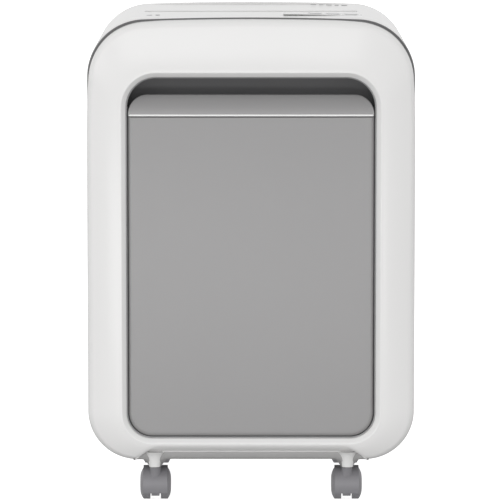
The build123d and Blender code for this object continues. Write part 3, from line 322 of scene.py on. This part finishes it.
throat_grey = finish("throat_grey", (0.7, 0.7, 0.69), 0.42, grain=1200, grain_depth=0.015)
boss_white = finish("boss_white", (0.74, 0.737, 0.73), 0.42, grain=1000, grain_depth=0.02)
mark_grey = finish("mark_grey", (0.32, 0.32, 0.325), 0.5, grain=1200, grain_depth=0.01)
# Painted shade: mid grey for the frame in the gap round the bin, standing for the fascia's inner lip in
# shadow.
lip_shade_grey = finish("lip_shade_grey", (0.30, 0.30, 0.303), 0.5, grain=1100, grain_depth=0.02)
# Partly painted shade: dark grey for the trim in the joint behind the fascia, made near-black for the shadow
# in the gap.
seam_trim_shade_grey = finish("seam_trim_shade_grey", (0.13, 0.13, 0.132), 0.55, grain=1100, grain_depth=0.02)
motor_can = finish("motor_can", (0.09, 0.09, 0.095), 0.38, grain=1200, grain_depth=0.015)

finishes = {
    m.name: m
    for m in (
        white_shell, dark_liner, bin_silver, bin_grey, base_grey, wheel_grey, steel, bright_steel,
        bronze, gear_plastic, black_plastic, key_grey, overlay_grey, light_pipe, board_green, motor_can,
    )
}
node_slot = {s["node"]: s["material_slot"] for s in frame["record"]["subparts"]}
for node, obj in nodes.items():
    obj.data.materials.clear()
    obj.data.materials.append(finishes[node_slot[node]])


# ==== fascia =============================================================================
def casing_loop(inset, arch=0.0, step=0.0):
    """The casing's outline drawn in by inset; arch lifts its foot between the lower corners.

    The lift dies out along a cubic step towards each corner. step draws the upper part in
    further, growing from nothing at mid height to its full size at the shoulders.
    """
    loop = outline(
        half_width - inset, casing_foot + inset, shoulder + top_corner - inset, foot_corner - inset,
        top_corner - inset, across=90, up=60, turn=12,
    )
    on_top = (loop[:, 1] > shoulder) & (np.abs(loop[:, 0]) <= reach + 0.01)
    loop[on_top, 1] = crown(loop[on_top, 0], inset)
    near_foot = np.clip(1.0 - (loop[:, 1] - casing_foot - inset) / 12.0, 0.0, 1.0)
    loop[:, 1] += arch * arch_share(loop[:, 0]) * near_foot
    centre = np.array([0.0, shoulder])
    share = smooth((loop[:, 1] - shoulder + 60.0) / 100.0)
    away = loop - centre
    away[:, 0] = np.sign(away[:, 0]) * np.maximum(np.abs(away[:, 0]) - reach, 0.0)
    away /= np.maximum(np.linalg.norm(away, axis=1), 1e-6)[:, None]
    share *= 1.0 + 0.6 * smooth((np.abs(loop[:, 0]) - 90.0) / 50.0)
    return loop - away * (step * share)[:, None]


def mouth_loop(outset):
    """The mouth's outline grown by outset."""
    return outline(
        mouth_half + outset, mouth_foot - outset, mouth_top + outset, mouth_foot_corner + outset,
        mouth_top_corner + outset, across=90, up=60, turn=12,
    )


def fascia_rings():
    """Rings of the fascia's closed section, from its back edge forward, in to the mouth and back inside.

    Depth over the face is the ridge's depth, plus a fall that grows with the distance from
    the ridge to the power 1.45, plus a quarter ellipse that rolls the outer edge.
    """
    ridge_outset = 6.6  # from the mouth to the ridge round it
    face_fall = 11.3
    edge_roll = 8.5
    rings = []

    def add(loop, y):
        y = np.broadcast_to(y, (len(loop),))
        rings.append(np.stack([loop[:, 0], y, loop[:, 1]], 1))

    def casing(inset):
        return casing_loop(inset, arch_lift, lid_step)

    for inset, ahead in ((1.2, 0.0), (0.5, 0.1), (0.12, 0.5), (0.0, 1.1), (0.0, 6.0)):
        add(casing(inset), fascia_back - ahead)
    edge, ridge = casing(0.0), mouth_loop(ridge_outset)
    span = np.linalg.norm(ridge - edge, axis=1)
    for s in np.linspace(0.0, 1.0, 34) ** 1.7:
        across = edge + s * (ridge - edge)
        travel = s * span
        roll_width = np.minimum(7.0, 0.42 * span)
        left = np.clip(1.0 - travel / roll_width, 0.0, 1.0)
        roll = edge_roll * (1.0 - np.sqrt(1.0 - left**2))
        fall = face_fall * (1.0 - s) ** 1.45
        add(across, front_y + 0.25 + fall + roll)
    over_ridge = ((6.2, 0.1), (5.7, 0.02), (5.2, 0.08), (4.7, 0.36), (4.2, 0.85))
    down_bevel = ((2.6, 2.6), (1.0, 4.3), (0.5, 4.95), (0.15, 5.7), (0.0, 6.5), (0.0, 9.6), (0.2, 9.9))
    round_lip = ((2.2, 10.0), (2.4, 8.0))
    for outset, y in over_ridge + down_bevel + round_lip:
        add(mouth_loop(outset), front_y + y)
    inside_edge, inside_mouth = casing(fascia_wall), mouth_loop(4.6)
    for s in np.linspace(0.0, 1.0, 8):
        across = inside_mouth + s * (inside_edge - inside_mouth)
        add(across, front_y + 5.0 + 13.0 * s**1.6)
    add(casing(fascia_wall), fascia_back - 6.0)
    add(casing(2.5), fascia_back)
    return np.array(rings)


rings = fascia_rings()
piece(
    "fascia_moulding", rings.reshape(-1, 3), ring_quads(len(rings), rings.shape[1], close=True),
    white_shell, "cabinet", ["front_fascia"],
)


# ==== bin front ==========================================================================
def pillow(name, loop_at, face, back, roll, across, up, material, body, replaced):
    """A moulded panel: rolled rim, a face filled in by blending its sides, and a flat back.

    loop_at(inset) gives the outline; face(x, z) the depth of the face; the rim is a
    quarter circle of radius roll, turned over in six steps. across and up count the
    cells between the outline's corners, so they have to fit loop_at.
    """
    rings = []
    turn = np.radians(np.linspace(0.0, 90.0, 7))
    loop = loop_at(0.0)
    rings.append(np.stack([loop[:, 0], np.full(len(loop), back), loop[:, 1]], 1))
    for t in turn:
        loop = loop_at(roll * (1.0 - math.cos(t)))
        y = face(loop[:, 0], loop[:, 1]) + roll * (1.0 - math.sin(t))
        rings.append(np.stack([loop[:, 0], y, loop[:, 1]], 1))
    for inset in (roll * 1.6, roll * 3.0):
        loop = loop_at(inset)
        rings.append(np.stack([loop[:, 0], face(loop[:, 0], loop[:, 1]), loop[:, 1]], 1))
    rings = np.array(rings)
    count = rings.shape[1]
    inner, numbers = coons(rings[-1], across, up)
    inner[:, 1] = face(inner[:, 0], inner[:, 2])
    rear, _ = coons(rings[0], across, up)
    points = np.concatenate([rings.reshape(-1, 3), inner, rear])
    last = (len(rings) - 1) * count
    front = grid_quads(numbers(last, len(rings) * count))
    behind = grid_quads(numbers(0, len(rings) * count + len(inner)))[:, ::-1]
    quads = np.concatenate([ring_quads(len(rings), count), front, behind])
    piece(name, points, quads, material, body, replaced)


door_half = door_high[0]
door_foot = door_low[2]
door_face = door_low[1]
door_back = door_high[1]
grip_foot = grip_low[2] + 1.2
grip_top = grip_high[2]
door_foot_corner = mouth_foot_corner - (mouth_half - door_half)


def door_loop(inset):
    """The bin's front below the grip: large lower corners, nearly square upper ones."""
    return outline(
        door_half - inset, door_foot + inset, grip_foot - 0.4 - 0.35 * inset, door_foot_corner - inset,
        max(1.2 - 0.35 * inset, 0.3), across=70, up=90, turn=8,
    )


def grip_loop(inset):
    """The grip: square lower corners, rounded upper ones."""
    return outline(
        door_half - inset, grip_foot + inset, grip_top - inset, max(1.2 - inset, 0.2), 21.0 - inset,
        across=70, up=4, turn=8,
    )


def door_surface(x, z):
    """Bin's face: flat with a crown of 0.5 mm across and a little less up."""
    middle = (door_foot + grip_foot) / 2
    return door_face + 0.5 * (x / door_half) ** 2 + 0.35 * ((z - middle) / (grip_foot - middle)) ** 2


def grip_surface(x, z):
    """Grip's face: upright at its foot, then a sweep that leans back 11 mm along a 1.7 power curve."""
    t = np.clip((z - grip_foot) / (grip_top - grip_foot), 0.0, 1.0)
    sweep = 1.6 * t + 9.6 * t**1.7
    return door_face + 0.4 * (x / door_half) ** 2 + sweep


pillow(
    "bin_face", door_loop, door_surface, door_back, 3.6, 86, 106, bin_silver, "bin", ["bin_front_panel"],
)
pillow(
    "grip_sweep", grip_loop, grip_surface, door_back, 0.6, 86, 20, bin_silver, "bin", ["bin_grip_trim"],
)


def bead(name, xs, y, z, half_y, half_z, material, body):
    """A rounded trim line along X: an ellipse carried along a path, tapered by a quarter circle at both ends.

    Each end closes to a point.
    """
    turn = np.radians(np.arange(0.0, 360.0, 22.5))
    share = np.sqrt(1.0 - np.clip(1.0 - (xs[-1] - np.abs(xs)) / 1.1, 0.0, 0.98) ** 2)[:, None]
    around_y = y[:, None] + half_y * share * np.cos(turn)
    around_z = z[:, None] + half_z * share * np.sin(turn)
    tube = np.stack([np.broadcast_to(xs[:, None], around_y.shape), around_y, around_z], 2)
    start, end = (np.tile(tube[i].mean(axis=0), (len(turn), 1))[None] for i in (0, -1))
    tube = np.concatenate([start, tube, end])
    quads = ring_quads(len(tube), len(turn))
    piece(name, tube.reshape(-1, 3), quads[:, ::-1], material, body)


def stations(half, count):
    """Points from -half to half, close together at both ends."""
    near = half - np.array([0.0, 0.15, 0.5, 1.1])
    return np.unique(np.concatenate([near, -near, np.linspace(-half + 4.0, half - 4.0, count)]))


# The bead is a real rounded crease line; its light silver is painted highlight.
across = stations(door_half - 0.9, 30)
bead(
    "grip_bead", across, door_face + 0.15 + 0.4 * (across / door_half) ** 2,
    np.full(len(across), grip_foot + 1.15), 0.75, 1.1, bead_highlight_silver, "bin",
)


def mouth_shade_frame():
    """A mid-grey frame just inside the mouth, a little behind the bin's face and clear of its travel: painted
    shade, standing for the fascia's inner lip in shadow in the gap round the bin.
    """
    rings = []
    for outset, y in ((0.6, 3.2), (-1.2, 3.4), (-1.5, 3.8), (-1.5, 7.0), (0.6, 7.0)):
        loop = mouth_loop(outset)
        rings.append(np.stack([loop[:, 0], np.full(len(loop), door_face + y), loop[:, 1]], 1))
    rings = np.array(rings)
    piece(
        "mouth_shade_frame", rings.reshape(-1, 3), ring_quads(len(rings), rings.shape[1], close=True),
        lip_shade_grey, "cabinet",
    )


mouth_shade_frame()


# ==== top cover, side panels and the dark strip between the shells (trim, darkened with painted shade) ===
def shell_sheet(path, normals, ys):
    """Carries an outline (x, z) along y; a quarter circle draws it in along its normals near both ends."""
    side_limit = half_width - 0.12  # keeps the rounded wall inside the casing's width
    ends = np.minimum(ys - ys[0], ys[-1] - ys)
    inset = shell_roll * (1.0 - np.sqrt(1.0 - np.clip(1.0 - ends / shell_roll, 0.0, 1.0) ** 2))
    x = np.clip(path[:, None, 0] - normals[:, None, 0] * inset, -side_limit, side_limit)
    z = path[:, None, 1] - normals[:, None, 1] * inset
    y = np.broadcast_to(ys, x.shape)
    points = np.stack([x, y, z], 2)
    grid = np.arange(x.size).reshape(x.shape)
    return points, grid


def run_of(low, high, lines=(), pitch=16.0):
    """Sorted stations from low to high: close together at both ends, even between, one on each given line."""
    ends = shell_roll * (1.0 - np.cos(np.radians(np.linspace(0.0, 90.0, 5))))
    middle = np.linspace(low + shell_roll, high - shell_roll, max(2, int((high - low) / pitch)))[1:-1]
    lines = np.array(sorted(lines), float)
    if len(lines):
        middle = middle[np.min(np.abs(middle[:, None] - lines[None]), axis=1) > pitch * 0.3]
    return np.unique(np.round(np.concatenate([low + ends, middle, lines, high - ends]), 4))


def cut_out(points, windows):
    """Marks the cells to keep: those with a middle outside every window (x, x, y, y) in the top."""
    middle = (points[:-1, :-1] + points[1:, 1:]) / 2
    keep = np.ones(middle.shape[:2], bool)
    for x0, x1, y0, y1 in windows:
        inside = (middle[..., 0] > x0) & (middle[..., 0] < x1)
        inside &= (middle[..., 1] > y0) & (middle[..., 1] < y1)
        keep &= ~(inside & (middle[..., 2] > shoulder))
    return keep


slot_window = (guide_low[0] - 0.2, guide_high[0] + 0.2, guide_low[1] - 0.2, guide_high[1] + 0.2)
panel_window = (
    overlay_low[0] - 0.05, overlay_high[0] + 0.05, overlay_low[1] - 0.05, overlay_high[1] + 0.05,
)


def lid():
    """The cover: rise, corner arc, shallow crown, corner arc, rise, open at the slot and the key panel.

    The roof is the lower of the crown and the corner arcs, out to just past both openings.
    """
    end = max(slot_window[1], panel_window[1]) + 0.6
    lines = np.array([-end, end, *slot_window[:2], *panel_window[:2]])
    xs = np.linspace(-end, end, 31)
    xs = np.unique(np.concatenate([xs[np.abs(xs[:, None] - lines[None]).min(axis=1) > 1.5], lines]))
    arc = np.linspace(0.0, math.acos((end + 1.5 - reach) / top_corner), 27)
    right = np.stack([reach + top_corner * np.cos(arc), shoulder + top_corner * np.sin(arc)], 1)
    right_normal = np.stack([np.cos(arc), np.sin(arc)], 1)
    foot = np.array([[half_width, split + s] for s in (0.0, 0.8)])
    over = np.maximum(np.abs(xs[::-1]) - reach, 0.0)
    roof = np.minimum(crown(xs[::-1]), shoulder + np.sqrt(top_corner**2 - over**2))
    top = np.stack([xs[::-1], roof], 1)
    top_normal = np.stack([xs[::-1] / crown_radius, np.ones(len(xs))], 1)
    flip = np.array([-1.0, 1.0])
    path = np.concatenate([foot, right, top, right[::-1] * flip, foot[::-1] * flip])
    sideways = np.tile([[1.0, 0.0]], (len(foot), 1))
    normals = np.concatenate([sideways, right_normal, top_normal, right_normal[::-1] * flip, sideways * flip])
    ys = run_of(shell_front + shell_roll, shell_back, [*slot_window[2:], *panel_window[2:]], pitch=14.0)
    points, grid = shell_sheet(path, normals, ys)
    keep = cut_out(points, (slot_window, panel_window))
    obj = piece(
        "lid", points.reshape(-1, 3), grid_quads(grid, keep), white_shell, "cabinet", ["top_cover"],
    )
    wall(obj, lid_wall, 0.2)


lid()


def side_panel(side, name):
    """A side: the lower corner's quarter arc and a tall flat wall, carried from front to back."""
    arc = np.radians(np.linspace(-90.0, 0.0, 25))
    inner = half_width - foot_corner
    bend_z = casing_foot + foot_corner + foot_corner * np.sin(arc)
    bend = np.stack([inner + foot_corner * np.cos(arc), bend_z], 1)
    normal = np.stack([np.cos(arc), np.sin(arc)], 1)
    up = np.array([casing_foot + foot_corner + 20, 200, 300, 400, split - 2, split - 0.4])
    rise = np.stack([np.full(len(up), half_width), up], 1)
    path = np.concatenate([bend, rise])
    normals = np.concatenate([normal, np.tile([[1.0, 0.0]], (len(up), 1))])
    flip = np.array([side, 1.0])
    points, grid = shell_sheet(path * flip, normals * flip, run_of(shell_front, shell_back))
    quads = grid_quads(grid)
    quads = quads if side > 0 else quads[:, ::-1]
    obj = piece(
        name + "_shell", points.reshape(-1, 3), quads, white_shell, "cabinet", [name + "_side_panel"],
    )
    wall(obj, side_wall, 0.5)


side_panel(-1, "left")
side_panel(1, "right")


def gasket():
    """Dark strip in the joint behind the fascia: a narrow band round the outline, closed in section. Its
    near-black is partly trim colour and partly painted shade for the shadow in the gap.

    It stops near the foot on either side, where its two ends are open.
    """
    rings = []
    for inset, y in ((3.2, -1.2), (0.75, -0.25), (0.75, 1.6), (3.2, 1.6)):
        loop = casing_loop(inset)
        rings.append(np.stack([loop[:, 0], np.full(len(loop), fascia_back + 0.35 + y), loop[:, 1]], 1))
    rings = np.array(rings)[::-1]
    high = rings[..., 2] > casing_foot + 30.0
    points = rings.reshape(-1, 3)
    quads = ring_quads(len(rings), rings.shape[1], close=True)
    quads = quads[high.reshape(-1)[quads].all(axis=1)]
    piece("seam_gasket", points, quads[:, ::-1], seam_trim_shade_grey, "cabinet")


gasket()


# ==== carried-over pieces with softened edges ===============================================
def softened(node, edge, material=None):
    """A merged copy of a machined or moulded piece with its hard edges rounded."""
    sharp = 30.0
    mesh = nodes[node].data.copy()
    work = bmesh.new()
    work.from_mesh(mesh)
    bmesh.ops.remove_doubles(work, verts=work.verts, dist=1e-6)
    bmesh.ops.dissolve_limit(work, angle_limit=math.radians(0.5), verts=work.verts, edges=work.edges)
    work.to_mesh(mesh)
    work.free()
    mesh.shade_smooth()
    mesh.set_sharp_from_angle(angle=math.radians(sharp))
    obj = bpy.data.objects.new(node + "_finished", mesh)
    scene.collection.objects.link(obj)
    mesh.materials.clear()
    mesh.materials.append(material or finishes[node_slot[node]])
    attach(obj, body_of_node[node])
    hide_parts(node)
    round_edges(obj, edge, sharp + 8.0)
    obj.modifiers["edges"].use_clamp_overlap = True


body_of_node = {n: b for b, group in frame["record"]["behaviour"]["bodies"].items() for n in group}
for node in ("rear_panel", "base_tray", "bin_mouth_liner", "control_overlay"):
    softened(node, 0.4)
softened("throat_guide", 0.5, material=throat_grey)
for node in body_of_node:
    if node.endswith("_key"):
        softened(node, 0.5)
    if "_caster_" in node:
        softened(node, 0.5)


# ==== base skirt, stems and marks ===========================================================
def revolve(name, profile, place, material, body):
    """Turns a closed profile of (radius, height) points about a vertical line, 40 steps round."""
    count = 40
    turn = np.radians(np.arange(count) * 360.0 / count)
    radius, height = np.array(profile, float).T
    x = place[0] + radius[:, None] * np.cos(turn)
    y = place[1] + radius[:, None] * np.sin(turn)
    points = np.stack([x, y, np.broadcast_to(height[:, None], x.shape)], 2).reshape(-1, 3)
    piece(name, points, ring_quads(len(profile), count, close=True), material, body)


def boss_flare(corner):
    """A trumpet under the base round a caster's stem: its radius grows with the cube of the height."""
    hood_low, hood_high = (np.array(c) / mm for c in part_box(corner + "_caster_hood"))
    place = ((hood_low[0] + hood_high[0]) / 2, stem_y if "rear" in corner else -stem_y)
    low, high = boss_foot, base_foot + 1.0
    s = np.linspace(0.0, 1.0, 12)
    outer = np.stack([6.4 + 4.6 * s + 3.6 * s**3, low + (high - low) * s], 1)
    inner = np.array([[14.2, high + 1.6], [5.4, high + 1.6], [5.4, low + 0.25], [5.6, low]])
    revolve(corner + "_boss_flare", np.concatenate([outer, inner]), place, boss_white, "cabinet")


for corner in ("front_left", "front_right", "rear_left", "rear_right"):
    boss_flare(corner)


def base_skirt():
    """The base's front under the fascia's arch, pointed at both ends.

    Its top edge follows the arch; its lower edge is level and rises to the tips; in line
    with each front stem a bell curve pushes it forward and draws it down into a column.
    """
    near_stem = np.linspace(92, 122, 31)
    xs = np.unique(np.concatenate([np.linspace(-130.5, 130.5, 70), near_stem, np.linspace(-122, -92, 31)]))
    stem = (np.abs(xs) - front_stem_x) / 7.6
    column = np.exp(-(stem**2))
    high = casing_foot + arch_lift * arch_share(xs) + 1.0
    level = base_foot + 3.2
    low = level + np.minimum(high - 0.3 - level, 0.0) * smooth((np.abs(xs) - 118.0) / 12.5) - 7.4 * column
    # Rows from the top edge over the front and back below: y, share of the height, share of the bulge.
    rows = (
        (-141.0, 0.03, 0.3), (-147.4, 0.0, 0.9), (-148.3, 0.06, 1.0), (-148.5, 0.16, 1.0),
        (-148.2, 0.45, 1.0), (-147.4, 0.75, 1.0), (-145.6, 0.93, 0.9), (-141.0, 1.0, 0.6),
        (-123.0, 0.97, 0.0),
    )
    y = np.array([[place - 5.0 * bulge * c for c in column] for place, _, bulge in rows])
    z = np.array([high + drop * (low - high) for _, drop, _ in rows])
    points = np.stack([np.broadcast_to(xs, y.shape), y, z], 2)
    grid = np.arange(y.size).reshape(y.shape)[::-1]
    # base_grey here is painted shade: the skirt is light plastic like the bosses, darkened for the shade
    # under the fascia.
    obj = piece(
        "base_skirt", points.reshape(-1, 3), grid_quads(grid), base_grey, "cabinet",
        sharp=60,
    )
    wall(obj, 1.2, 0.15, angle=60.0)


def stem_column(side, name):
    """A light column under the fascia's edge, in line with a front stem but ahead of it; against the skirt's
    painted shade its light plastic stands for the highlight down the rib's front.

    Its radius flares with the fourth power of the height.
    """
    s = np.linspace(0.0, 1.0, 9)
    outer = np.stack([6.2 + 1.2 * s + 3.6 * s**4, base_foot - 4.2 + 16.6 * s], 1)
    inner = np.array([[4.0, base_foot + 12.4], [4.0, base_foot - 4.0], [5.6, base_foot - 4.5]])
    revolve(
        name + "_stem_column", np.concatenate([outer, inner]), (side * front_stem_x, -146.6), boss_white,
        "cabinet",
    )


def arch_bead():
    """A thin white line along the edge of the fascia's arch."""
    along = stations(129.0, 60)
    rim = casing_foot + arch_lift * arch_share(along) + 1.0
    ahead = np.full(len(along), -148.3)
    bead("arch_bead", along, ahead, rim, 0.6, 0.6, white_shell, "cabinet")


base_skirt()
stem_column(-1, "left")
stem_column(1, "right")
arch_bead()


def raised_marks(name, spots, material):
    """Small generic marks on the lid: oval pads with a rounded shoulder, following the crown.

    They are open underneath, where they sink into the lid.
    """
    section = ((0.9, -0.3), (1.0, -0.3), (1.0, 0.06), (0.94, 0.14), (0.8, 0.17), (0.02, 0.18))
    turn = np.radians(np.arange(0.0, 360.0, 20.0))
    points, quads = [], []
    for x, y, half_x, half_y in spots:
        start = len(points) * len(turn)
        for share, rise in section:
            px = x + half_x * share * np.sign(np.cos(turn)) * np.abs(np.cos(turn)) ** 0.7
            py = y + half_y * share * np.sign(np.sin(turn)) * np.abs(np.sin(turn)) ** 0.7
            points.append(np.stack([px, py, crown(px) + rise], 1))
        quads.append(ring_quads(len(section), len(turn), first=start))
    piece(name, np.concatenate(points), np.concatenate(quads), material, "cabinet")


marks = [(-113.5, -70.0, 3.2, 1.5), (-104.0, -70.0, 2.4, 1.5)]
marks += [(72.0 + 9.0 * i, 104.0, 2.4 if i % 2 else 3.4, 1.8) for i in range(5)]
marks += [(66.0 + 10.0 * i, -51.2, 2.6, 0.9) for i in range(6)]
raised_marks("lid_marks", marks, mark_grey)


# ==== floor, light and camera =============================================================
floor_left, floor_right, floor_near, floor_far = -30, 30, -20, 60
floor_z = -0.0005  # just under the wheels
floor_mesh = bpy.data.meshes.new("studio_floor")
floor_corners = [
    (floor_left, floor_near, floor_z), (floor_right, floor_near, floor_z),
    (floor_right, floor_far, floor_z), (floor_left, floor_far, floor_z),
]
floor_mesh.from_pydata(floor_corners, [], [(0, 1, 2, 3)])
studio_floor = bpy.data.objects.new("studio_floor", floor_mesh)
scene.collection.objects.link(studio_floor)
floor_material = finish(
    "studio_floor", (0.9, 0.9, 0.9), 0.9, grain=40, grain_depth=0.001, mottle_share=0.003, specular=0.05,
)
floor_shader = floor_material.node_tree.nodes["Principled BSDF"]
floor_shader.inputs["Emission Color"].default_value = (1.0, 1.0, 1.0, 1.0)
floor_shader.inputs["Emission Strength"].default_value = 0.85
floor_mesh.materials.append(floor_material)
studio_floor.visible_diffuse = False
studio_floor.visible_glossy = False

# Soft surround: brightest round the horizon, dimmer overhead and below.
world = bpy.data.worlds.new("studio")
scene.world = world
world.use_nodes = True
sky = world.node_tree
direction = sky.nodes.new("ShaderNodeTexCoord")
upward = sky.nodes.new("ShaderNodeSeparateXYZ")
elevation = sky.nodes.new("ShaderNodeMapRange")
elevation.inputs["From Min"].default_value = -1.0
elevation.inputs["From Max"].default_value = 1.0
glow = sky.nodes.new("ShaderNodeValToRGB")
glow.color_ramp.interpolation = "EASE"
stops = ((0.0, 0.30), (0.36, 0.46), (0.47, 0.90), (0.55, 0.98), (0.68, 0.80), (1.0, 0.72))
while len(glow.color_ramp.elements) < len(stops):
    glow.color_ramp.elements.new(0.5)
for element, (place, value) in zip(glow.color_ramp.elements, stops):
    element.position = place
    element.color = (value, value, value, 1.0)
sky.links.new(direction.outputs["Generated"], upward.inputs["Vector"])
sky.links.new(upward.outputs["Z"], elevation.inputs["Value"])
sky.links.new(elevation.outputs["Result"], glow.inputs["Fac"])
sky.links.new(glow.outputs["Color"], sky.nodes["Background"].inputs["Color"])
sky.nodes["Background"].inputs["Strength"].default_value = 1.01


def soft_box(name, place, target, size, power):
    """A rectangular area light aimed at a point."""
    data = bpy.data.lights.new(name, "AREA")
    data.shape = "RECTANGLE"
    data.size, data.size_y = size
    data.energy = power
    lamp = bpy.data.objects.new(name, data)
    lamp.location = place
    lamp.rotation_euler = (Vector(target) - Vector(place)).to_track_quat("-Z", "Y").to_euler()
    scene.collection.objects.link(lamp)


soft_box("key_light", (-2.2, -2.6, 1.3), (0, 0, 0.3), (1.2, 1.2), 6.0)
soft_box("front_key", (-0.3, -2.6, 1.5), (0, 0, 0.42), (1.4, 0.8), 7.6)
soft_box("low_fill", (-0.15, -1.5, 0.1), (0, 0, 0.1), (1.6, 0.3), 4.6)

camera_distance = 4.3
camera_x = -0.0012
camera_height = 0.8238
aim_height = 0.2881
scene.view_settings.view_transform = "Standard"
lens = bpy.data.cameras.new("studio_camera")
lens.lens = 283.8
lens.sensor_width = 36.0
lens.clip_end = 50.0
camera = bpy.data.objects.new("studio_camera", lens)
scene.collection.objects.link(camera)
camera.location = (camera_x, front_y * mm - camera_distance, camera_height)
aim = Vector((camera_x, front_y * mm, aim_height))
camera.rotation_euler = (aim - camera.location).to_track_quat("-Z", "Y").to_euler()
scene.camera = camera

bpy.context.view_layer.update()
